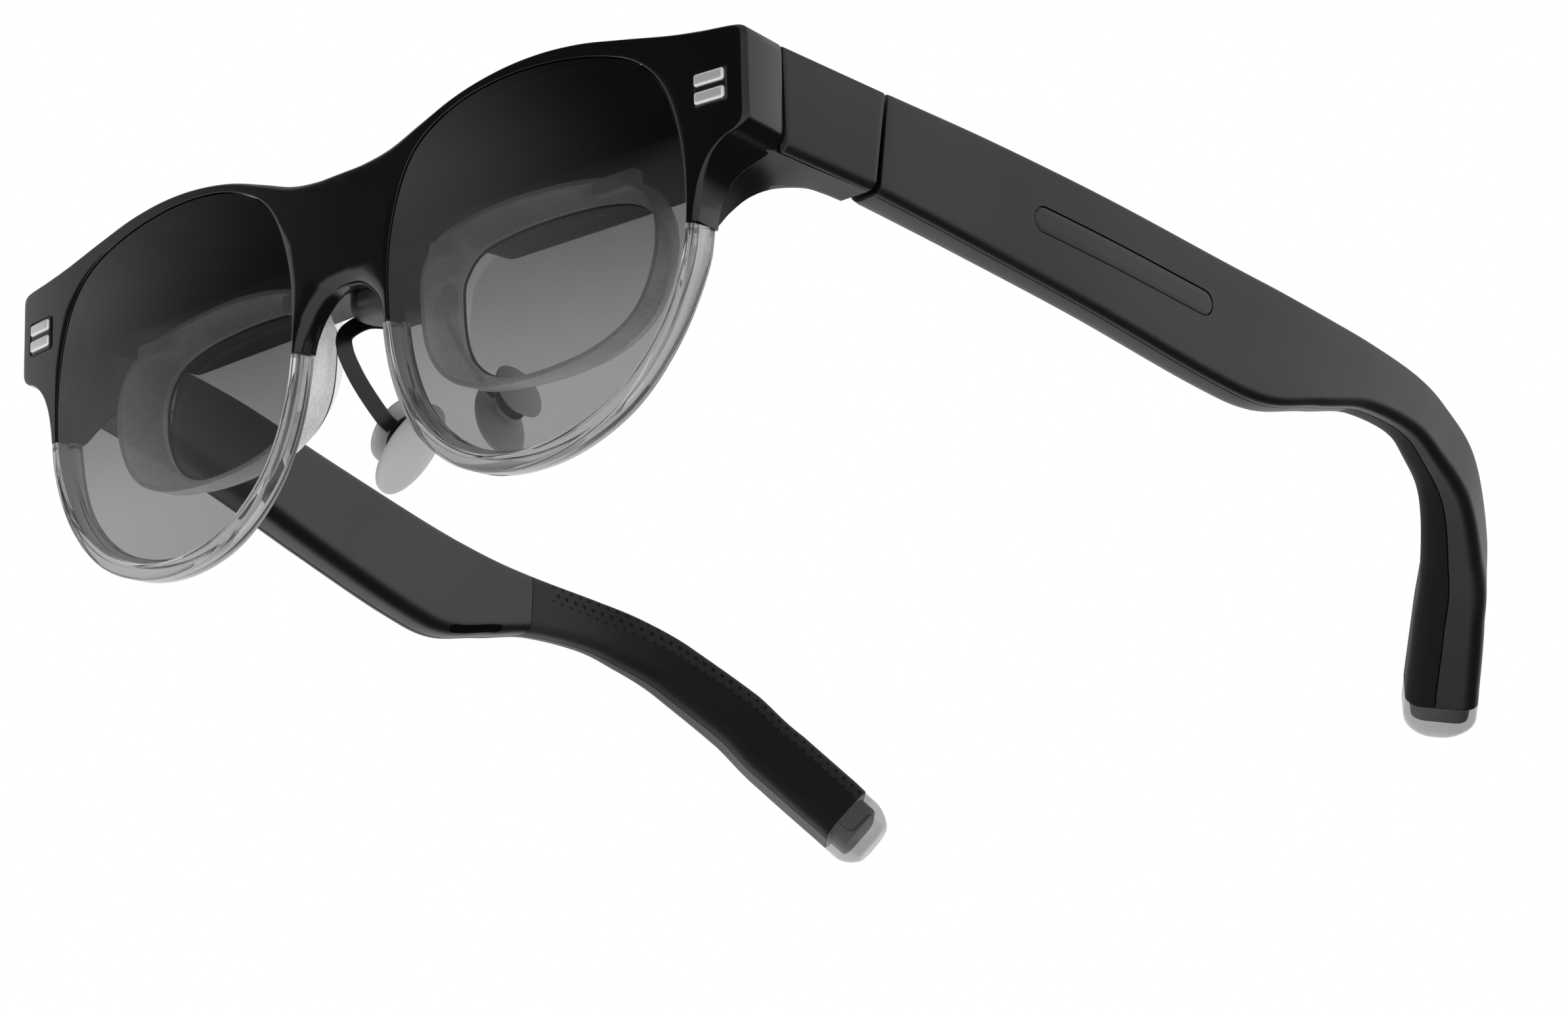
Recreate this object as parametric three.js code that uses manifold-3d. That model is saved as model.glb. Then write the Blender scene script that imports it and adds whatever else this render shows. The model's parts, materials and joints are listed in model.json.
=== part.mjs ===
// Display smart glasses: a black front with clear lower rims and two see-through display
// modules, two nose pads on bent metal arms, and two folding temples that carry the electronics.
// Millimetres. +X is the wearer's left, +Y points back towards the ears, +Z is up.

import * as THREE from 'three';
import * as BufferGeometryUtils from 'three/addons/utils/BufferGeometryUtils.js';
import { TessellateModifier } from 'three/addons/modifiers/TessellateModifier.js';
import Module from 'manifold-3d';

const wasm = await Module();
wasm.setup();

// ---------------------------------------------------------------- driving dimensions
const frontHalfWidth = 74.9;      // middle to the outer corner of the endpiece
const lensHeight = 52.3;
const gap = 0.3;                  // between two fixed pieces that touch
const rimDepth = 3.4;             // front to back of the rims
const shellWall = 1.5;
const lensThick = 1.6;
const rimSideFace = 1.4;          // width of the rim round the lens at the sides
const rimBottomFace = 2.4;        // and at the bottom
const seamDrop = 24.5;            // clear rims start this far below the endpiece top
const faceLean = 10 * Math.PI / 180;   // the front leans back at the bottom when worn
const wrap = 0.00046;             // the front surface is the parabola y = wrap * x * x,
const cornerSweep = 1.6;          // and its outer corners sweep back this much more
const sweepFrom = 60;
const armStart = 8.9;             // seam between the front shell and the side arm
const armEnd = 27.2;              // seam between the side arm and the temple
const foldGap = 0.5;
const hingeX = 72.2;
const hingeY = 29.2;
const hingeLow = -11.2;
const hingeHigh = -1.4;
const knuckleR = 1.8;
const pinR = 0.7;
const screwR = 0.5;
const screwGap = 0.25;
const templeThick = 7.3;           // at the hinge, along the lower edge; the top is thinner
const templeHeight = 14.4;

// ---------------------------------------------------------------- materials
const looks = {
  blackGloss: { color: 0x0c0c0d, roughness: 0.28, metalness: 0 },
  blackSatin: { color: 0x242425, roughness: 0.45, metalness: 0 },
  softTouch: { color: 0x19191a, roughness: 0.7, metalness: 0 },
  clear: { color: 0xe8eaec, roughness: 0.05, metalness: 0, transparent: true, opacity: 0.35 },
  smoked: { color: 0x5b5c5e, roughness: 0.05, metalness: 0, transparent: true, opacity: 0.6 },
  silver: { color: 0xc9c9cb, roughness: 0.3, metalness: 1 },
  steel: { color: 0x8d8f92, roughness: 0.35, metalness: 1 },
  blackMetal: { color: 0x17171a, roughness: 0.35, metalness: 0.8 },
  silicone: { color: 0xcfcdc8, roughness: 0.6, metalness: 0 },
  board: { color: 0x0e3a28, roughness: 0.5, metalness: 0 },
  panel: { color: 0x101420, roughness: 0.1, metalness: 0.2 },
  cell: { color: 0x9a9ca0, roughness: 0.4, metalness: 0.6 },
};

const root = new THREE.Group();      // the glasses as they stand, rims and temple tips down
const worn = new THREE.Group();      // level as worn: temples run back, hinge pins upright
const face = new THREE.Group();      // leans with the front
root.add(worn);
worn.add(face);
face.rotation.x = faceLean;

function addPiece(parent, name, look, geometry) {
  const mesh = new THREE.Mesh(geometry, new THREE.MeshStandardMaterial(looks[look]));
  mesh.name = name;
  parent.add(mesh);
}

// ---------------------------------------------------------------- solids: join, cut, mirror
function welded(geometry) {
  const bare = new THREE.BufferGeometry();
  bare.setAttribute('position', geometry.getAttribute('position').clone());
  if (geometry.index) bare.setIndex(geometry.index.clone());
  return BufferGeometryUtils.mergeVertices(bare, 1e-4);
}

function solid(geometry) {
  const mesh = welded(geometry);
  return new wasm.Manifold(new wasm.Mesh({
    numProp: 3,
    vertProperties: new Float32Array(mesh.getAttribute('position').array),
    triVerts: new Uint32Array(mesh.index.array),
  }));
}

function geometryOf(manifold) {
  const mesh = manifold.getMesh();
  const geometry = new THREE.BufferGeometry();
  geometry.setAttribute('position', new THREE.BufferAttribute(new Float32Array(mesh.vertProperties), 3));
  geometry.setIndex(new THREE.BufferAttribute(new Uint32Array(mesh.triVerts), 1));
  return geometry;
}

function cut(body, ...tools) {
  return geometryOf(tools.reduce((left, tool) => left.subtract(solid(tool)), solid(body)));
}

function join(...bodies) {
  return geometryOf(bodies.slice(1).reduce((left, body) => left.add(solid(body)), solid(bodies[0])));
}

function common(body, tool) {
  return geometryOf(solid(body).intersect(solid(tool)));
}

function moved(geometry, change) {
  const copy = geometry.clone();
  const position = copy.getAttribute('position');
  const point = new THREE.Vector3();
  for (let i = 0; i < position.count; i += 1) {
    point.fromBufferAttribute(position, i);
    change(point);
    position.setXYZ(i, point.x, point.y, point.z);
  }
  return copy;
}

function mirrored(geometry) {
  const flipped = moved(welded(geometry), (p) => { p.x = -p.x; });
  const index = flipped.index;
  for (let i = 0; i < index.count; i += 3) {
    const second = index.getX(i + 1);
    index.setX(i + 1, index.getX(i + 2));
    index.setX(i + 2, second);
  }
  return flipped;
}

function addPair(parent, name, look, geometry) {
  addPiece(parent, 'left_' + name, look, geometry);
  addPiece(parent, 'right_' + name, look, mirrored(geometry));
}

function bow(x) {
  const sweep = Math.max(0, (Math.abs(x) - sweepFrom) / (frontHalfWidth - sweepFrom));
  return wrap * x * x + cornerSweep * sweep ** 3;
}

// Gives a flat front piece the wrap of the front: its long edges are split first.
function wrapped(geometry) {
  const cornerToCorner = 16;
  const passes = 16;
  const fine = new TessellateModifier(cornerToCorner, passes).modify(geometry.index ? geometry.toNonIndexed() : geometry);
  return welded(moved(fine, (p) => { p.y += bow(p.x); }));
}

// A flat outline drawn in X and Z, from y0 back to y1.
function plate(outline, y0, y1) {
  const shape = outline instanceof THREE.Shape ? outline : new THREE.Shape(outline);
  const geometry = new THREE.ExtrudeGeometry(shape, { depth: y1 - y0, bevelEnabled: false });
  geometry.deleteAttribute('uv');
  geometry.deleteAttribute('normal');
  return geometry.rotateX(Math.PI / 2).translate(0, y1, 0);
}

// The same, drawn in Y and Z, from x0 out to x1.
function sidePlate(outline, x0, x1) {
  const geometry = new THREE.ExtrudeGeometry(new THREE.Shape(outline), { depth: x1 - x0, bevelEnabled: false });
  geometry.rotateX(Math.PI / 2).rotateZ(Math.PI / 2);
  return geometry.translate(x0, 0, 0);
}

function box(x0, x1, y0, y1, z0, z1) {
  const geometry = new THREE.BoxGeometry(x1 - x0, y1 - y0, z1 - z0);
  return geometry.translate((x0 + x1) / 2, (y0 + y1) / 2, (z0 + z1) / 2);
}

function upright(radius, z0, z1, x, y, sides = 16) {
  const geometry = new THREE.CylinderGeometry(radius, radius, z1 - z0, sides);
  return geometry.rotateX(Math.PI / 2).translate(x, y, (z0 + z1) / 2);
}

function across(radius, x0, x1, y, z, sides = 12) {
  const geometry = new THREE.CylinderGeometry(radius, radius, x1 - x0, sides);
  return geometry.rotateZ(Math.PI / 2).translate((x0 + x1) / 2, y, z);
}

const at = (x, y) => new THREE.Vector2(x, y);

// ---------------------------------------------------------------- front outlines (X, Z)
const lensTop = 4.1;
const lensCurve = new THREE.SplineCurve([
  at(9.9, -22), at(10.6, -11.5), at(14.8, -2.2), at(23, 2.5), at(34, lensTop), at(46, 3.1), at(56, 0),
  at(61.5, -5.2), at(64.3, -13.5), at(64.9, -22.5), at(63.6, -30), at(59.4, -37.8), at(52.5, -44),
  at(43, -47.6), at(33, lensTop - lensHeight), at(23.8, -45.8), at(16.2, -40), at(11.7, -31.8), at(9.9, -22),
]);
const lensOutline = lensCurve.getSpacedPoints(48).slice(0, -1);

// Moves every point of a closed outline out along its normal, by a distance set by the normal.
function grown(outline, distance) {
  const count = outline.length;
  return outline.map((point, i) => {
    const before = outline[(i + count - 1) % count];
    const after = outline[(i + 1) % count];
    const along = after.clone().sub(before).normalize();
    const normal = at(-along.y, along.x);
    return point.clone().addScaledVector(normal, distance(normal));
  });
}

const rimFace = (n) => rimSideFace + (rimBottomFace - rimSideFace) * Math.max(0, -n.y) ** 2;
const rimOutline = grown(lensOutline, rimFace);
const lensSeat = grown(lensOutline, () => gap);

const browRight = new THREE.SplineCurve([
  at(0, -0.8), at(5, -0.7), at(10.5, 0.1), at(16.5, 2), at(24, 4.2), at(32, 5.4), at(39.5, 5.6), at(47, 4.9),
  at(54.5, 3.4), at(62.5, 1.5), at(69, 0.1), at(frontHalfWidth - 1.4, -0.5),
]).getPoints(30);
const endpieceDown = new THREE.SplineCurve([
  at(frontHalfWidth, -12.8), at(73.6, -14), at(71.2, -14.9), at(68.8, -16.8), at(67.3, -19.8),
  at(66.5, -seamDrop - 1),
]).getPoints(10);
const archRight = new THREE.SplineCurve([
  at(8.8, -seamDrop - 1), at(7.7, -22.3), at(5.8, -19.6), at(3, -17.6), at(0, -17),
]).getPoints(10);

const halfOutline = [
  ...browRight, at(frontHalfWidth - 0.5, -1.2), ...endpieceDown,
  at(60, -seamDrop - 1), at(15, -seamDrop - 1), ...archRight,
];
const mirroredHalf = halfOutline.slice(1, -1).map((p) => at(-p.x, p.y)).reverse();
const browOutline = [...halfOutline, ...mirroredHalf];

// ---------------------------------------------------------------- front shell and clear rims
const far = 200;
const belowSeam = box(-far, far, -far, far, -far, -seamDrop);
const aboveSeam = box(-far, far, -far, far, -seamDrop - gap, far);

// The shell turns back at the endpiece, level with the side arm that follows it.
const levelled = (p) => { p.z -= Math.tan(faceLean) * (p.y - rimDepth / 2); };
const endpieceReturn = [
  at(67, 0.5), at(frontHalfWidth - 1.4, -0.5), at(frontHalfWidth - 0.5, -1.2), ...endpieceDown,
  at(65.2, -seamDrop - 1), at(66.1, -19.5), at(67.9, -15.9), at(70.8, -13.5), at(73.3, -12.2),
  at(frontHalfWidth - shellWall - 0.6, -2), at(67, -1),
];
const returnBack = armStart - gap - bow(frontHalfWidth);
const cheekCut = sidePlate([
  at(rimDepth, -seamDrop - 2), at(rimDepth + 0.9, -21), at(rimDepth + 2, -18.6), at(returnBack, -16.9),
  at(returnBack + 9, -16.9), at(returnBack + 9, -seamDrop - 9), at(rimDepth, -seamDrop - 9),
], 60, 80);
const turned = cut(moved(plate(endpieceReturn, rimDepth / 2, returnBack), levelled), cheekCut);

const rimPlate = plate(rimOutline, 0, rimDepth);
const openings = plate(lensSeat, -1, far);
const badgeHole = box(66.9 - gap, 71.9 + gap, -1, 0.9, -9.3 - gap, -5 + gap);
const shellPlate = join(plate(browOutline, 0, rimDepth), rimPlate, mirrored(rimPlate), turned, mirrored(turned));
const frontShell = cut(shellPlate, openings, mirrored(openings), belowSeam, badgeHole, mirrored(badgeHole));
addPiece(face, 'front_shell', 'blackGloss', wrapped(frontShell));

const clearRim = cut(rimPlate, plate(lensSeat, -1, far), aboveSeam);
addPair(face, 'clear_rim', 'clear', wrapped(clearRim));
addPair(face, 'front_lens', 'smoked', wrapped(plate(lensOutline, 0.2, 0.2 + lensThick)));

// ---------------------------------------------------------------- silver badge bars
const barHeight = 1.75;
const barTops = { badge_upper: -5.1, badge_lower: -7.5 };
for (const [name, top] of Object.entries(barTops)) {
  addPair(face, name, 'silver', wrapped(box(66.9, 71.9, -0.3, 0.6, top - barHeight, top)));
}

// ---------------------------------------------------------------- see-through display modules
const housingFront = rimDepth + gap;
const housingBack = 24;
const housingLow = -10.6;
const cupFront = 4.6;
const cupWall = 1.3;
const moduleMid = 33;                 // middle of an eye's optics
const cupCurve = new THREE.SplineCurve([
  at(11.4, -20), at(12.4, -28), at(16.2, -33.2), at(22.5, -36), at(33, -37), at(44, -36), at(51.6, -32.5),
  at(55.4, -26), at(55.6, -19.5), at(52, -14.6), at(43, -11.7), at(28, housingLow - gap), at(16.2, -12.6),
  at(12.4, -15.8), at(11.4, -20),
]);
const cupOutline = cupCurve.getSpacedPoints(30).slice(0, -1);
const cupInside = grown(cupOutline, () => -cupWall);

// The beam splitter leans back from the foot of the cup to the housing's rear lower edge.
const splitterFoot = { y: 7, z: -35.6 };
const splitterHead = { y: 14, z: housingLow - 1 };
const splitterThick = 1.2;
const splitterLean = Math.atan2(splitterHead.y - splitterFoot.y, splitterHead.z - splitterFoot.z);

function leaning(outset, depth) {
  const rise = { y: Math.cos(splitterLean), z: -Math.sin(splitterLean) };
  const point = (p, out) => at(p.y + rise.y * out, p.z + rise.z * out);
  const reach = 30;
  const low = { y: splitterFoot.y - reach * Math.sin(splitterLean), z: splitterFoot.z - reach * Math.cos(splitterLean) };
  const high = { y: splitterHead.y + reach * Math.sin(splitterLean), z: splitterHead.z + reach * Math.cos(splitterLean) };
  return [point(low, outset), point(high, outset), point(high, outset + depth), point(low, outset + depth)];
}

const behindSplitter = sidePlate(leaning(-gap, 90), -far, far);
const cupBody = cut(plate(cupOutline, cupFront, 40), plate(cupInside, cupFront + cupWall, 41), behindSplitter);
addPair(face, 'combiner', 'clear', wrapped(cupBody));
const splitterSlab = sidePlate(leaning(0, splitterThick), -far, far);
const underHousing = box(-far, far, -far, far, -far, housingLow - 2 * gap);
const splitterFace = common(plate(grown(cupOutline, () => -gap), -1, 40), underHousing);
addPair(face, 'beam_splitter', 'clear', wrapped(common(splitterFace, splitterSlab)));

const housingPlan = new THREE.SplineCurve([
  at(8.5, -8), at(9.8, -3), at(15, 0.4), at(24, 2.5), at(34, 3.6), at(46, 3), at(55, 0.6), at(61, -3), at(62, -8),
]).getPoints(20);
const housingOutline = [...housingPlan, at(62, housingLow), at(8.5, housingLow)].reverse();
const engine = { x0: moduleMid - 16, x1: moduleMid + 16, y0: 8, y1: 22 };
const panelTop = 0.4;
const panelThick = 1.6;
const fieldTop = -2.4;
const fieldThick = 5.4;
const enginePocket = box(engine.x0, engine.x1, engine.y0, engine.y1, -far, panelTop + gap);
const bossR = 5.6;                    // the nose bracket is screwed to this boss
const bossY = 9.6;
const bridge = join(
  box(-9.5, 9.5, housingFront, 15, -14.5, -3.6),
  upright(bossR, -19.8, -14, 0, bossY),
);
const boardPocket = box(-13, 13, housingFront - 1, housingFront + 2.4, -11.5, -4.8);
const sideHousing = plate(housingOutline, housingFront, housingBack);
const housing = cut(
  join(sideHousing, mirrored(sideHousing), bridge),
  enginePocket, mirrored(enginePocket), boardPocket,
);
addPiece(face, 'optics_housing', 'blackSatin', wrapped(housing));

function inEngine(y0, y1, z0, z1) {
  return box(engine.x0 + gap, engine.x1 - gap, y0, y1, z0, z1);
}
addPair(face, 'display_panel', 'panel', wrapped(
  inEngine(engine.y0 + gap, engine.y1 - gap, panelTop - panelThick, panelTop)));
const fieldLens = new THREE.SphereGeometry(1, 16, 8).scale(13.5, 6.2, fieldThick / 2);
addPair(face, 'field_lens', 'clear', wrapped(
  fieldLens.translate(moduleMid, (engine.y0 + engine.y1) / 2, fieldTop - fieldThick / 2)));
addPiece(face, 'main_board', 'board', wrapped(box(-12, 12, housingFront + 0.5, housingFront + 1.7, -11, -5.3)));

// ---------------------------------------------------------------- lofted solids
// Each station has an origin and two unit vectors; its section is drawn in those two directions.
function loft(stations, sectionAt) {
  const rings = stations.map((station, i) => sectionAt(i).map((p) => (
    station.origin.clone().addScaledVector(station.a, p.x).addScaledVector(station.b, p.y)
  )));
  const size = rings[0].length;
  const position = rings.flat().flatMap((p) => [p.x, p.y, p.z]);
  const index = [];
  for (let i = 0; i < rings.length - 1; i += 1) {
    for (let j = 0; j < size; j += 1) {
      const k = (j + 1) % size;
      const here = i * size;
      const next = here + size;
      index.push(here + j, here + k, next + k, here + j, next + k, next + j);
    }
  }
  const last = (rings.length - 1) * size;
  for (const [u, v, w] of THREE.ShapeUtils.triangulateShape(sectionAt(0), [])) index.push(w, v, u);
  for (const [u, v, w] of THREE.ShapeUtils.triangulateShape(sectionAt(rings.length - 1), [])) {
    index.push(last + u, last + v, last + w);
  }
  const geometry = new THREE.BufferGeometry();
  geometry.setAttribute('position', new THREE.Float32BufferAttribute(position, 3));
  geometry.setIndex(index);
  if (solid(geometry).volume() < 0) {
    for (let i = 0; i < index.length; i += 3) [index[i + 1], index[i + 2]] = [index[i + 2], index[i + 1]];
    geometry.setIndex(index);
  }
  return geometry;
}

// A rectangle with rounded corners: radii in the order low-left, low-right, top-right, top-left.
function roundedRect(x0, x1, y0, y1, radii, steps = 2) {
  const corners = [[x0, y0, 180], [x1, y0, 270], [x1, y1, 0], [x0, y1, 90]];
  return corners.flatMap(([x, y, start], i) => {
    const r = radii[i];
    if (r === 0) return [at(x, y)];
    const cx = x === x0 ? x0 + r : x1 - r;
    const cy = y === y0 ? y0 + r : y1 - r;
    return Array.from({ length: steps + 1 }, (_, k) => {
      const angle = (start + (90 * k) / steps) * Math.PI / 180;
      return at(cx + r * Math.cos(angle), cy + r * Math.sin(angle));
    });
  });
}

// ---------------------------------------------------------------- temples
// The spine is the outer top edge of the left temple; at each of its points the section has a
// height, a thickness and a parting depth, where the outer shell meets the inner pieces.
const bend = (x, y, z, height, thick, part) => ({ top: new THREE.Vector3(x, y, z), height, thick, part });
const templeStart = armEnd + foldGap;
const bends = [
  bend(77.5, templeStart, 0.9, templeHeight, templeThick, 1.4),
  bend(79.8, 46, 1.3, 15.8, 6.8, 1.4),
  bend(83, 66, 0.6, 16.9, 6.4, 1.4),
  bend(85.8, 88, -0.5, 17.9, 6.2, 1.5),
  bend(87.1, 99, -0.9, 17.3, 6.2, 1.7),
  bend(87.9, 109, -1.2, 13.4, 6.2, 2),
  bend(87.9, 119, -1.1, 9.9, 5.8, 2.3),
  bend(86.9, 131, -1, 8.6, 5.6, 2.5),
  bend(85.3, 140, -1.9, 8.9, 6.2, 2.9),
  bend(82.6, 150.9, -4.8, 9.1, 7.6, 3.8),
  bend(76.7, 162.6, -11.2, 9.6, 9.3, 5),
  bend(71.2, 170.1, -17.6, 10, 10.5, 5.9),
  bend(64.7, 177.8, -24.8, 10, 11, 6.5),
  bend(59.8, 182.9, -29.8, 10, 11, 6.5),
];
const lastBend = bends.length - 1;
const spine = new THREE.CatmullRomCurve3(bends.map((b) => b.top));
const sizes = new THREE.CatmullRomCurve3(bends.map((b) => new THREE.Vector3(b.height, b.thick, b.part)));
const upwards = new THREE.Vector3(0, 0, 1);
const flatSideNarrowing = 2;          // the inner side leans out towards the top of the flat side

function station(bendNumber) {
  const u = bendNumber / lastBend;
  const along = spine.getTangent(u);
  const inward = upwards.clone().cross(along).normalize();
  const up = along.clone().cross(inward).normalize();
  const { x: height, y: thick, z: part } = sizes.getPoint(u);
  const topNarrowing = flatSideNarrowing * THREE.MathUtils.clamp(1 - (bendNumber - 4) / 4, 0, 1);
  const origin = spine.getPoint(u).addScaledVector(up, -height / 2);
  return { origin, a: inward, b: up, along, height, thick, part, topNarrowing };
}

function stations(from, to, count) {
  return Array.from({ length: count + 1 }, (_, i) => station(from + ((to - from) * i) / count));
}

// depths(s) gives the section's two depths from the outer face, its margin below and above, and
// its corner radii.
function templePiece(from, to, count, depths) {
  const list = stations(from, to, count);
  return loft(list, (i) => {
    const s = list[i];
    const d = depths(s, i / count);
    const half = s.height / 2 - (d.margin ?? 0);
    const leanAt = (p) => s.topNarrowing * (p.x / s.thick) * (0.5 + p.y / s.height);
    return roundedRect(d.near, d.far, -half, half, d.radii).map((p) => at(p.x - leanAt(p), p.y));
  });
}

const capStart = 12.25;
const outerRadius = 1.6;
const innerLowRadius = 1.3;
const innerTopRadius = 2.6;
const sharp = 0;
const innerSeam = 5.8;                // the inner cover ends here and the ear grip starts
const templeWall = 1.2;

const notch = upright(2.35, hingeLow - 0.5, hingeHigh + 0.9, hingeX, hingeY);
const touch = { from: 1.42, to: 2.91, low: -9.65, high: -6.05 };   // strip under the top edge

const outerShell = templePiece(0, capStart, 34, (s) => (
  { near: 0, far: s.part - gap / 2, radii: [outerRadius / 2, sharp, sharp, outerRadius / 2] }));
const innerFull = templePiece(0, innerSeam, 14, (s) => (
  { near: s.part + gap / 2, far: s.thick, radii: [sharp, innerLowRadius, innerTopRadius, sharp] }));
const cavity = templePiece(0.12, innerSeam - 0.15, 13, (s) => (
  { near: s.part - 1, far: s.thick - templeWall, margin: templeWall, radii: [sharp, 0.6, 1.2, sharp] }));

// Two halves of the temple's inner side: a hollow cover over the electronics, then the soft grip.
const innerCover = cut(innerFull, cavity, notch);
const grip = templePiece(innerSeam + 0.03, capStart, 20, (s) => (
  { near: s.part + gap / 2, far: s.thick, radii: [sharp, innerLowRadius, innerTopRadius, sharp] }));
const capRound = 0.42;
const capLength = lastBend - capStart - 0.04;
const tipCap = templePiece(capStart + 0.04, lastBend, 6, (s, t) => {
  const roundOff = 1 - Math.sqrt(1 - 0.75 * Math.max(0, (t - capRound) / (1 - capRound)) ** 2);
  const pinch = roundOff * s.height / 2;
  const r = Math.min(innerTopRadius, s.height / 2 - pinch - 0.1);
  return { near: pinch, far: s.thick - pinch, margin: pinch, radii: [r, r, r, r] };
});

// Flat parts that follow the temple: near and far are depths from its outer face, low and high
// are heights from the middle of its section, or from its top edge where underTop is true.
function templeSlab(from, to, count, near, far, low, high, underTop = false) {
  const list = stations(from, to, count);
  return loft(list, (i) => {
    const base = underTop ? list[i].height / 2 : 0;
    return roundedRect(near, far, base + low, base + high, [0, 0, 0, 0]);
  });
}

// A round part across the temple, centred on a point of its outer face.
function templeDisc(where, height, radius, near, far) {
  const s = station(where);
  const geometry = new THREE.CylinderGeometry(radius, radius, far - near, 12);
  const turn = new THREE.Matrix4().makeBasis(s.along, s.a, s.b);
  const centre = s.origin.clone().addScaledVector(s.a, (near + far) / 2).addScaledVector(s.b, height);
  return geometry.applyMatrix4(turn.setPosition(centre));
}

const bay = templeSlab(touch.from, touch.to, 8, -1, 0.75, touch.low, touch.high, true);
const leftShell = cut(outerShell, notch, bay);
const speakerSlot = templeSlab(4.2, 4.95, 4, 3.4, 5.4, -12, -5.4);
const leftCover = cut(innerCover, speakerSlot);

addPiece(worn, 'left_temple_shell', 'blackSatin', leftShell);
addPiece(worn, 'right_temple_shell', 'blackSatin', mirrored(cut(outerShell, notch)));
addPair(worn, 'temple_cover', 'blackSatin', leftCover);
addPair(worn, 'ear_grip', 'softTouch', grip);
addPair(worn, 'tip_cap', 'clear', tipCap);
addPiece(worn, 'left_touch_pad', 'blackSatin', templeSlab(
  touch.from + 0.015, touch.to - 0.015, 8, 0.06, 0.5, touch.low + gap, touch.high - gap, true));
addPair(worn, 'temple_board', 'board', templeSlab(0.9, 2.2, 6, 2, 2.9, -5, 4.6));
addPair(worn, 'battery', 'cell', templeSlab(2.35, 3.9, 8, 1.9, 3.5, -6.2, 5.4));
addPair(worn, 'speaker_grille', 'steel', templeSlab(4.25, 4.9, 4, 3.75, 5.05, -6.6, -6.1));
addPair(worn, 'speaker', 'blackMetal', templeSlab(4.15, 4.85, 5, 2.2, 3.7, -5, 2));

// ---------------------------------------------------------------- side arms and hinges
// Plan outlines in X and Y; the liner is the arm's inner wall and runs down behind the rim.
const armOuter = [at(75.3, 6.8), at(77.5, armEnd)];
const linerInner = [at(71.2, armEnd), at(70.8, 23.5), at(69.9, 20.2), at(67.9, 17.4), at(66.7, 14.5), at(66.3, 7)];
const linerWall = 1;
const linerOuter = linerInner.map((p) => at(p.x + linerWall, p.y));
const armLow = -13.4;
const armHigh = 0.7;

function planPlate(outline, z0, z1) {
  const geometry = new THREE.ExtrudeGeometry(new THREE.Shape(outline), { depth: z1 - z0, bevelEnabled: false });
  return geometry.translate(0, 0, z0);
}

// Everything in front of the shell's seam, a plane that leans with the front.
function aheadOfSeam(back) {
  return box(-far, far, -far, back, -far, far).applyMatrix4(new THREE.Matrix4().makeRotationX(faceLean));
}

const armPlan = [...armOuter, at(73.9, armEnd), ...linerOuter.map((p) => at(p.x + gap, p.y)).slice(1)];
const armCavity = planPlate([at(60, 5), at(73.7, 5), at(75.8, armEnd - 1.6), at(60, armEnd - 1.6)],
  armLow + 1.3, armHigh - 1.3);
const hingePass = box(60, 73.9, armEnd - 3, armEnd + 3, hingeLow - 0.4, hingeHigh + 0.4);
const sideArm = cut(planPlate(armPlan, armLow, armHigh), armCavity, hingePass, aheadOfSeam(armStart));
addPair(worn, 'side_arm', 'blackSatin', sideArm);

const webPlan = [...linerInner, ...linerOuter.reverse()];
const rimWeb = sidePlate([
  at(10.1, -23.2), at(11.4, -22.6), at(13.2, -19.6), at(15.8, -16.4), at(18.4, -14.2), at(19.4, armLow + 1),
  at(12.4, armLow + 1), at(11.9, -15.2), at(10.9, -18.8),
], 64.6, 67.2);
const liner = cut(join(planPlate(webPlan, armLow, armHigh), rimWeb), aheadOfSeam(armStart));
addPair(worn, 'arm_liner', 'blackSatin', liner);

const knuckle = (z0, z1) => upright(knuckleR, z0, z1, hingeX, hingeY);
const pinBore = upright(pinR + 0.25, -far, far, hingeX, hingeY);
const endKnuckle = 2.6;
const leafLow = hingeLow + endKnuckle + gap;
const leafHigh = hingeHigh - endKnuckle - gap;
const flange = { x0: hingeX + 0.35, x1: hingeX + 1.25 };
const leafGap = upright(knuckleR + gap, leafLow - gap, leafHigh + gap, hingeX, hingeY);
const bracket = cut(
  join(
    knuckle(hingeLow, hingeLow + endKnuckle),
    knuckle(hingeHigh - endKnuckle, hingeHigh),
    box(flange.x0, flange.x1, 16.5, hingeY, hingeLow, hingeHigh),
  ),
  pinBore, leafGap, across(screwR + screwGap, 70, 76, 19.4, -6.3),
);
addPair(worn, 'hinge_bracket', 'steel', bracket);
const leafScrewHole = templeDisc(0.52, 0, screwR + screwGap, 3, 6);
const leaf = cut(
  join(knuckle(leafLow, leafHigh), templeSlab(0.07, 0.7, 3, 3.7, 4.6, -1.95, 1.95)),
  pinBore, leafScrewHole,
);
addPair(worn, 'hinge_leaf', 'steel', leaf);
const pin = join(
  upright(pinR, hingeLow - 0.2, hingeHigh + 0.5, hingeX, hingeY),
  upright(pinR + 0.7, hingeHigh + gap, hingeHigh + 0.7, hingeX, hingeY),
);
addPair(worn, 'hinge_pin', 'steel', pin);
addPair(worn, 'leaf_screw', 'steel', join(
  templeDisc(0.52, 0, screwR, 2.9, 4.8), templeDisc(0.52, 0, screwR + 0.5, 2.8, 3.4)));
addPair(worn, 'bracket_screw', 'steel', join(
  across(screwR, 72.35, 74.5, 19.4, -6.3), across(screwR + 0.5, 73.9, 74.6, 19.4, -6.3)));

// ---------------------------------------------------------------- nose bracket and pads
const padCentre = new THREE.Vector3(8.9, 21.3, -34.5);
const padLong = new THREE.Vector3(-0.58, 0.42, 1).normalize();
const padAcross = padLong.clone().cross(new THREE.Vector3(0.86, 0, 0.5)).normalize();
const padNormal = padAcross.clone().cross(padLong).normalize();
const onPad = (out, up) => padCentre.clone().addScaledVector(padNormal, out).addScaledVector(padLong, up);
const ringCentre = onPad(3.1, 1.2);

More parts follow.
